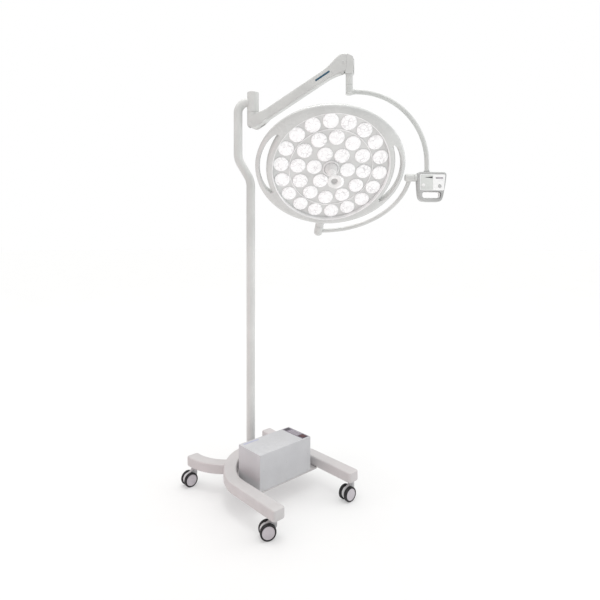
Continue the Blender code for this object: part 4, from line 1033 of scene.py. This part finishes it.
piece("lens_web", turned(
    mm(0, 12.3, 263.4, 12.3, 263.4, 15, 39, 15, 38.5, 15.8, 34, 15.8, 33.5, 14.6, 0, 14.6), 0.0005, 192),
    WEB, "head", head_at, "lens_plate")
piece("face_edge_trim", turned(
    mm(263.4, 15.1, 264, 15.1, 264, 30, 266.2, 34.1, 268.2, 34.6, 268, 35.4, 265.5, 35.2, 263.4, 31.2),
    0.0004, 192, True), TRIM, "head", head_at)
piece("face_seam_ring", turned(mm(187.4, 15.1, 192, 15.1, 191.4, 18.8, 190, 19.6, 188, 18.8), 0.0006, 160,
                               True), TRIM, "head", head_at)

FINE, COARSE = 56, 14                        # corners of a lens's smooth rim and of its facet rings


def lens_body(twist):
    """Cut-gem lens: rings of facets, each turned half a step from the next."""
    bm, loops = bmesh.new(), []
    for i, (r, z) in enumerate(mm(34.6, 14.8, 34.6, 16.6, 32.5, 18.6, 26.2, 20.4, 17.6, 21.3, 8.5, 21.7)):
        count, shift = (FINE, 0) if i < 3 else (COARSE, 0.5 * (i % 2))
        spread = [twist + TAU * (m + shift) / count for m in range(count)]
        loops.append([bm.verts.new((r * cos(a), r * sin(a), z)) for a in spread])
    bm.faces.new(loops[0][::-1])
    for low, high in zip(loops[:2], loops[1:3]):
        for m in range(FINE):
            n = (m + 1) % FINE
            bm.faces.new((low[m], low[n], high[n], high[m]))
    rim_loop, outer, middle, table = loops[2:]
    for m in range(COARSE):
        n = (m + 1) % COARSE
        chain = [rim_loop[(4 * m + 2 + j) % FINE] for j in range(5)]
        for j in range(4):
            bm.faces.new((chain[j], chain[j + 1], outer[n] if j > 1 else outer[m]))
        for corners in ((outer[m], chain[2], outer[n]), (outer[n], middle[m], outer[m]),
                        (outer[n], middle[n], middle[m]), (middle[m], middle[n], table[m]),
                        (table[m], middle[n], table[n])):
            bm.faces.new(corners)
    bm.faces.new(table)
    return bm


def paint_facet_light(ob):
    """Give every small facet its own brightness, painted refracted light as the prisms of a lit optic show;
    the tiniest facets are painted darkest.
    """
    values = ob.data.attributes.new("facet", "FLOAT", "FACE")
    for face in ob.data.polygons:
        spot = face.center
        chance = abs(sin(spot.x * 913.7 + spot.y * 517.3 + spot.z * 1291.1) * 43758.5453) % 1.0
        values.data[face.index].value = 0.35 + 0.65 * chance if face.area > 6e-6 else 0.25


lenses, seats = [], []
for count, radius, start in LENS_RINGS:
    for k in range(count):
        a = radians(90 - start - 360 * k / count)
        at = head_at @ moved(radius * cos(a), radius * sin(a), 0)
        lenses.append((lens_body(a + 0.37 * k), at))
        seats.append((turned(mm(34.8, 14.9, 35.8, 14.9, 35.7, 16.2, 35.2, 16.8), 0.0003, 56, True), at))
optics = mesh_object("lens_bodies", join(lenses), HERE)
paint_facet_light(optics)
show(optics, LENS, "head", sharp=8.0)
piece("lens_seats", join(seats), WEB, "head")

piece("handle_bell_collar", turned(
    mm(9.6, 15.3, 31, 15.3, 31.6, 16.8, 30, 18.6, 29.2, 24, 27.6, 31, 23.5, 40, 18.5, 45, 9.6, 45),
    0.0016, 72, True), COLLAR, "head", head_at, "handle_collar")
piece("handle_collar_rim", turned(mm(31.9, 16, 38.5, 16, 38.5, 19.2, 36.8, 21.5, 32.4, 21), 0.001, 72, True),
      TRIM, "head", head_at)


def fluted(a, r, z):
    """Shallow finger flutes along the waist of the handle."""
    if 0.060 < z < 0.128 and r > 0.0145:
        fade = sin(pi * (z - 0.060) / 0.068)
        return r - 0.0007 * fade * (0.5 + 0.5 * cos(8 * a)), z
    return r, z


grip_line = mm(0, 18, 9, 18, 9, 45.4, 15.8, 45.4, 16.6, 48, 16.3, 54, 15.2, 56.2, 15.2, 57.4, 16, 59, 15, 70,
               15, 82, 15.5, 95, 17.5, 107.5, 20.5, 118, 24.5, 126.2, 28, 131.2, 30.3, 134.5, 30.5, 137.8,
               29.2, 139.6, 26.2, 140, 17.2, 138.5, 15, 136.2, 13.2, 130, 12, 111, 0, 110.5)
piece("sterile_handle_grip", lathe(soften(grip_line, 0.0014, 5), 96, shape=fluted), GLOWING_HANDLE, "handle", head_at,
      "sterile_handle")
piece("handle_socket_lining", turned(
    mm(0, 124, 12.1, 124, 12.8, 129.6, 11.8, 131, 10, 130.2, 5, 129.8, 0, 129.8), 0.0004, 48), LINING,
    "handle", head_at)

# ------------ CAD nodes that stay
KEPT = {"battery_pack": DARK, "sleeve_bush": BRONZE, "led_board": BOARD}
KEPT.update({name: STEEL for name in ("arm_pin_base", "arm_pin_tip", "arm_spring_cartridge", "arm_tie_rod")})
KEPT.update({f"caster_{tag}_axle": STEEL for tag in CASTERS})
for name, finish in KEPT.items():
    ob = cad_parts[name]
    ob.data.materials.clear()
    ob.data.materials.append(finish.mat)

# ------------ floor, light and camera
floor_mesh, mesh = bmesh.new(), bpy.data.meshes.new("floor")
bmesh.ops.create_circle(floor_mesh, cap_ends=True, segments=128, radius=60.0)
floor_mesh.to_mesh(mesh)
floor_mesh.free()
floor = link(bpy.data.objects.new("floor", mesh))
ground = Finish("pale_floor", None, Roughness=0.75, Specular_IOR_Level=0.15)
pale = ground.mix(ground.spots(0.3, 0.7, 1.6, 3.0), (0.545, 0.545, 0.545), (0.565, 0.565, 0.565))
distance = ground.node("VectorMath", {0: ground.coords}, "Value", operation="LENGTH")
# the floor glows, less near the object and more farther out: painted light that pales its shadows and blends
# it into the white backdrop
ground.wire(Base_Color=pale, Emission_Color=WHITE,
            Emission_Strength=ground.step(distance, 0.8, 3.0, 0.34, 0.46),
            Normal=ground.bump(ground.noise(240.0, 3.0), 0.0003, 0.15))
floor.data.materials.append(ground.mat)

# a white studio: pale backdrop all round, brightest overhead, warmer on one side than the other
world = bpy.data.worlds.new("studio")
bpy.context.scene.world = world
world.use_nodes = True
sky = Graph(world.node_tree, "Generated")
across_sky = sky.node("VectorMath", {0: sky.coords, 1: (0.74, -0.67, 0.0)}, "Value", operation="DOT_PRODUCT")
wall = sky.mix(sky.step(across_sky, -0.9, 0.9), (0.200, 0.178, 0.181), (0.420, 0.425, 0.450))
climb = sky.node("SeparateXYZ", {0: sky.coords}, 2)
dome = sky.mix(sky.step(climb, 0.05, 0.85), wall, (1.18, 1.18, 1.16))
studio = sky.mix(sky.node("LightPath", out="Is Camera Ray"), dome, (1.0, 1.0, 1.0))
backdrop = world.node_tree.nodes["Background"]
sky.feed(backdrop.inputs["Color"], studio)
backdrop.inputs["Strength"].default_value = 1.0


def aim(ob, at, direction):
    """Place a light or camera, and point it along a direction."""
    ob.location, ob.rotation_mode = at, "QUATERNION"
    ob.rotation_quaternion = Vector(direction).to_track_quat("-Z", "Y")
    return link(ob)


def softbox(name, at, target, size, power, colour=(1.0, 1.0, 1.0)):
    data = bpy.data.lights.new(name, "AREA")
    data.shape, data.size, data.energy, data.color = "DISK", size, power, colour
    aim(bpy.data.objects.new(name, data), at, Vector(target) - Vector(at))


softbox("key_light", (-0.4, -0.3, 4.6), (0.0, 0.0, 0.9), 1.8, 32.0, (1.0, 1.0, 0.99))
softbox("top_light", (0.4, 0.4, 4.2), (0.0, 0.0, 0.0), 2.6, 17.0)
softbox("right_light", (1.70, -1.30, 1.5), (-0.1, 0.1, 0.9), 1.4, 9.0)
softbox("warm_side_light", (-2.4, 0.2, 0.45), (0.0, 0.0, 0.15), 0.9, 3.5, (1.0, 0.40, 0.45))

camera_data = bpy.data.cameras.new("camera")
camera_data.lens, camera_data.sensor_width, camera_data.shift_y = 28.5, 36.0, -0.10
camera_data.clip_start, camera_data.clip_end = 0.05, 60.0
camera = aim(bpy.data.objects.new("camera", camera_data), (-1.5699, -1.6136, 1.17), (0.6756, 0.7373, 0.0))
bpy.context.scene.camera = camera
bpy.context.scene.view_settings.view_transform = "Standard"
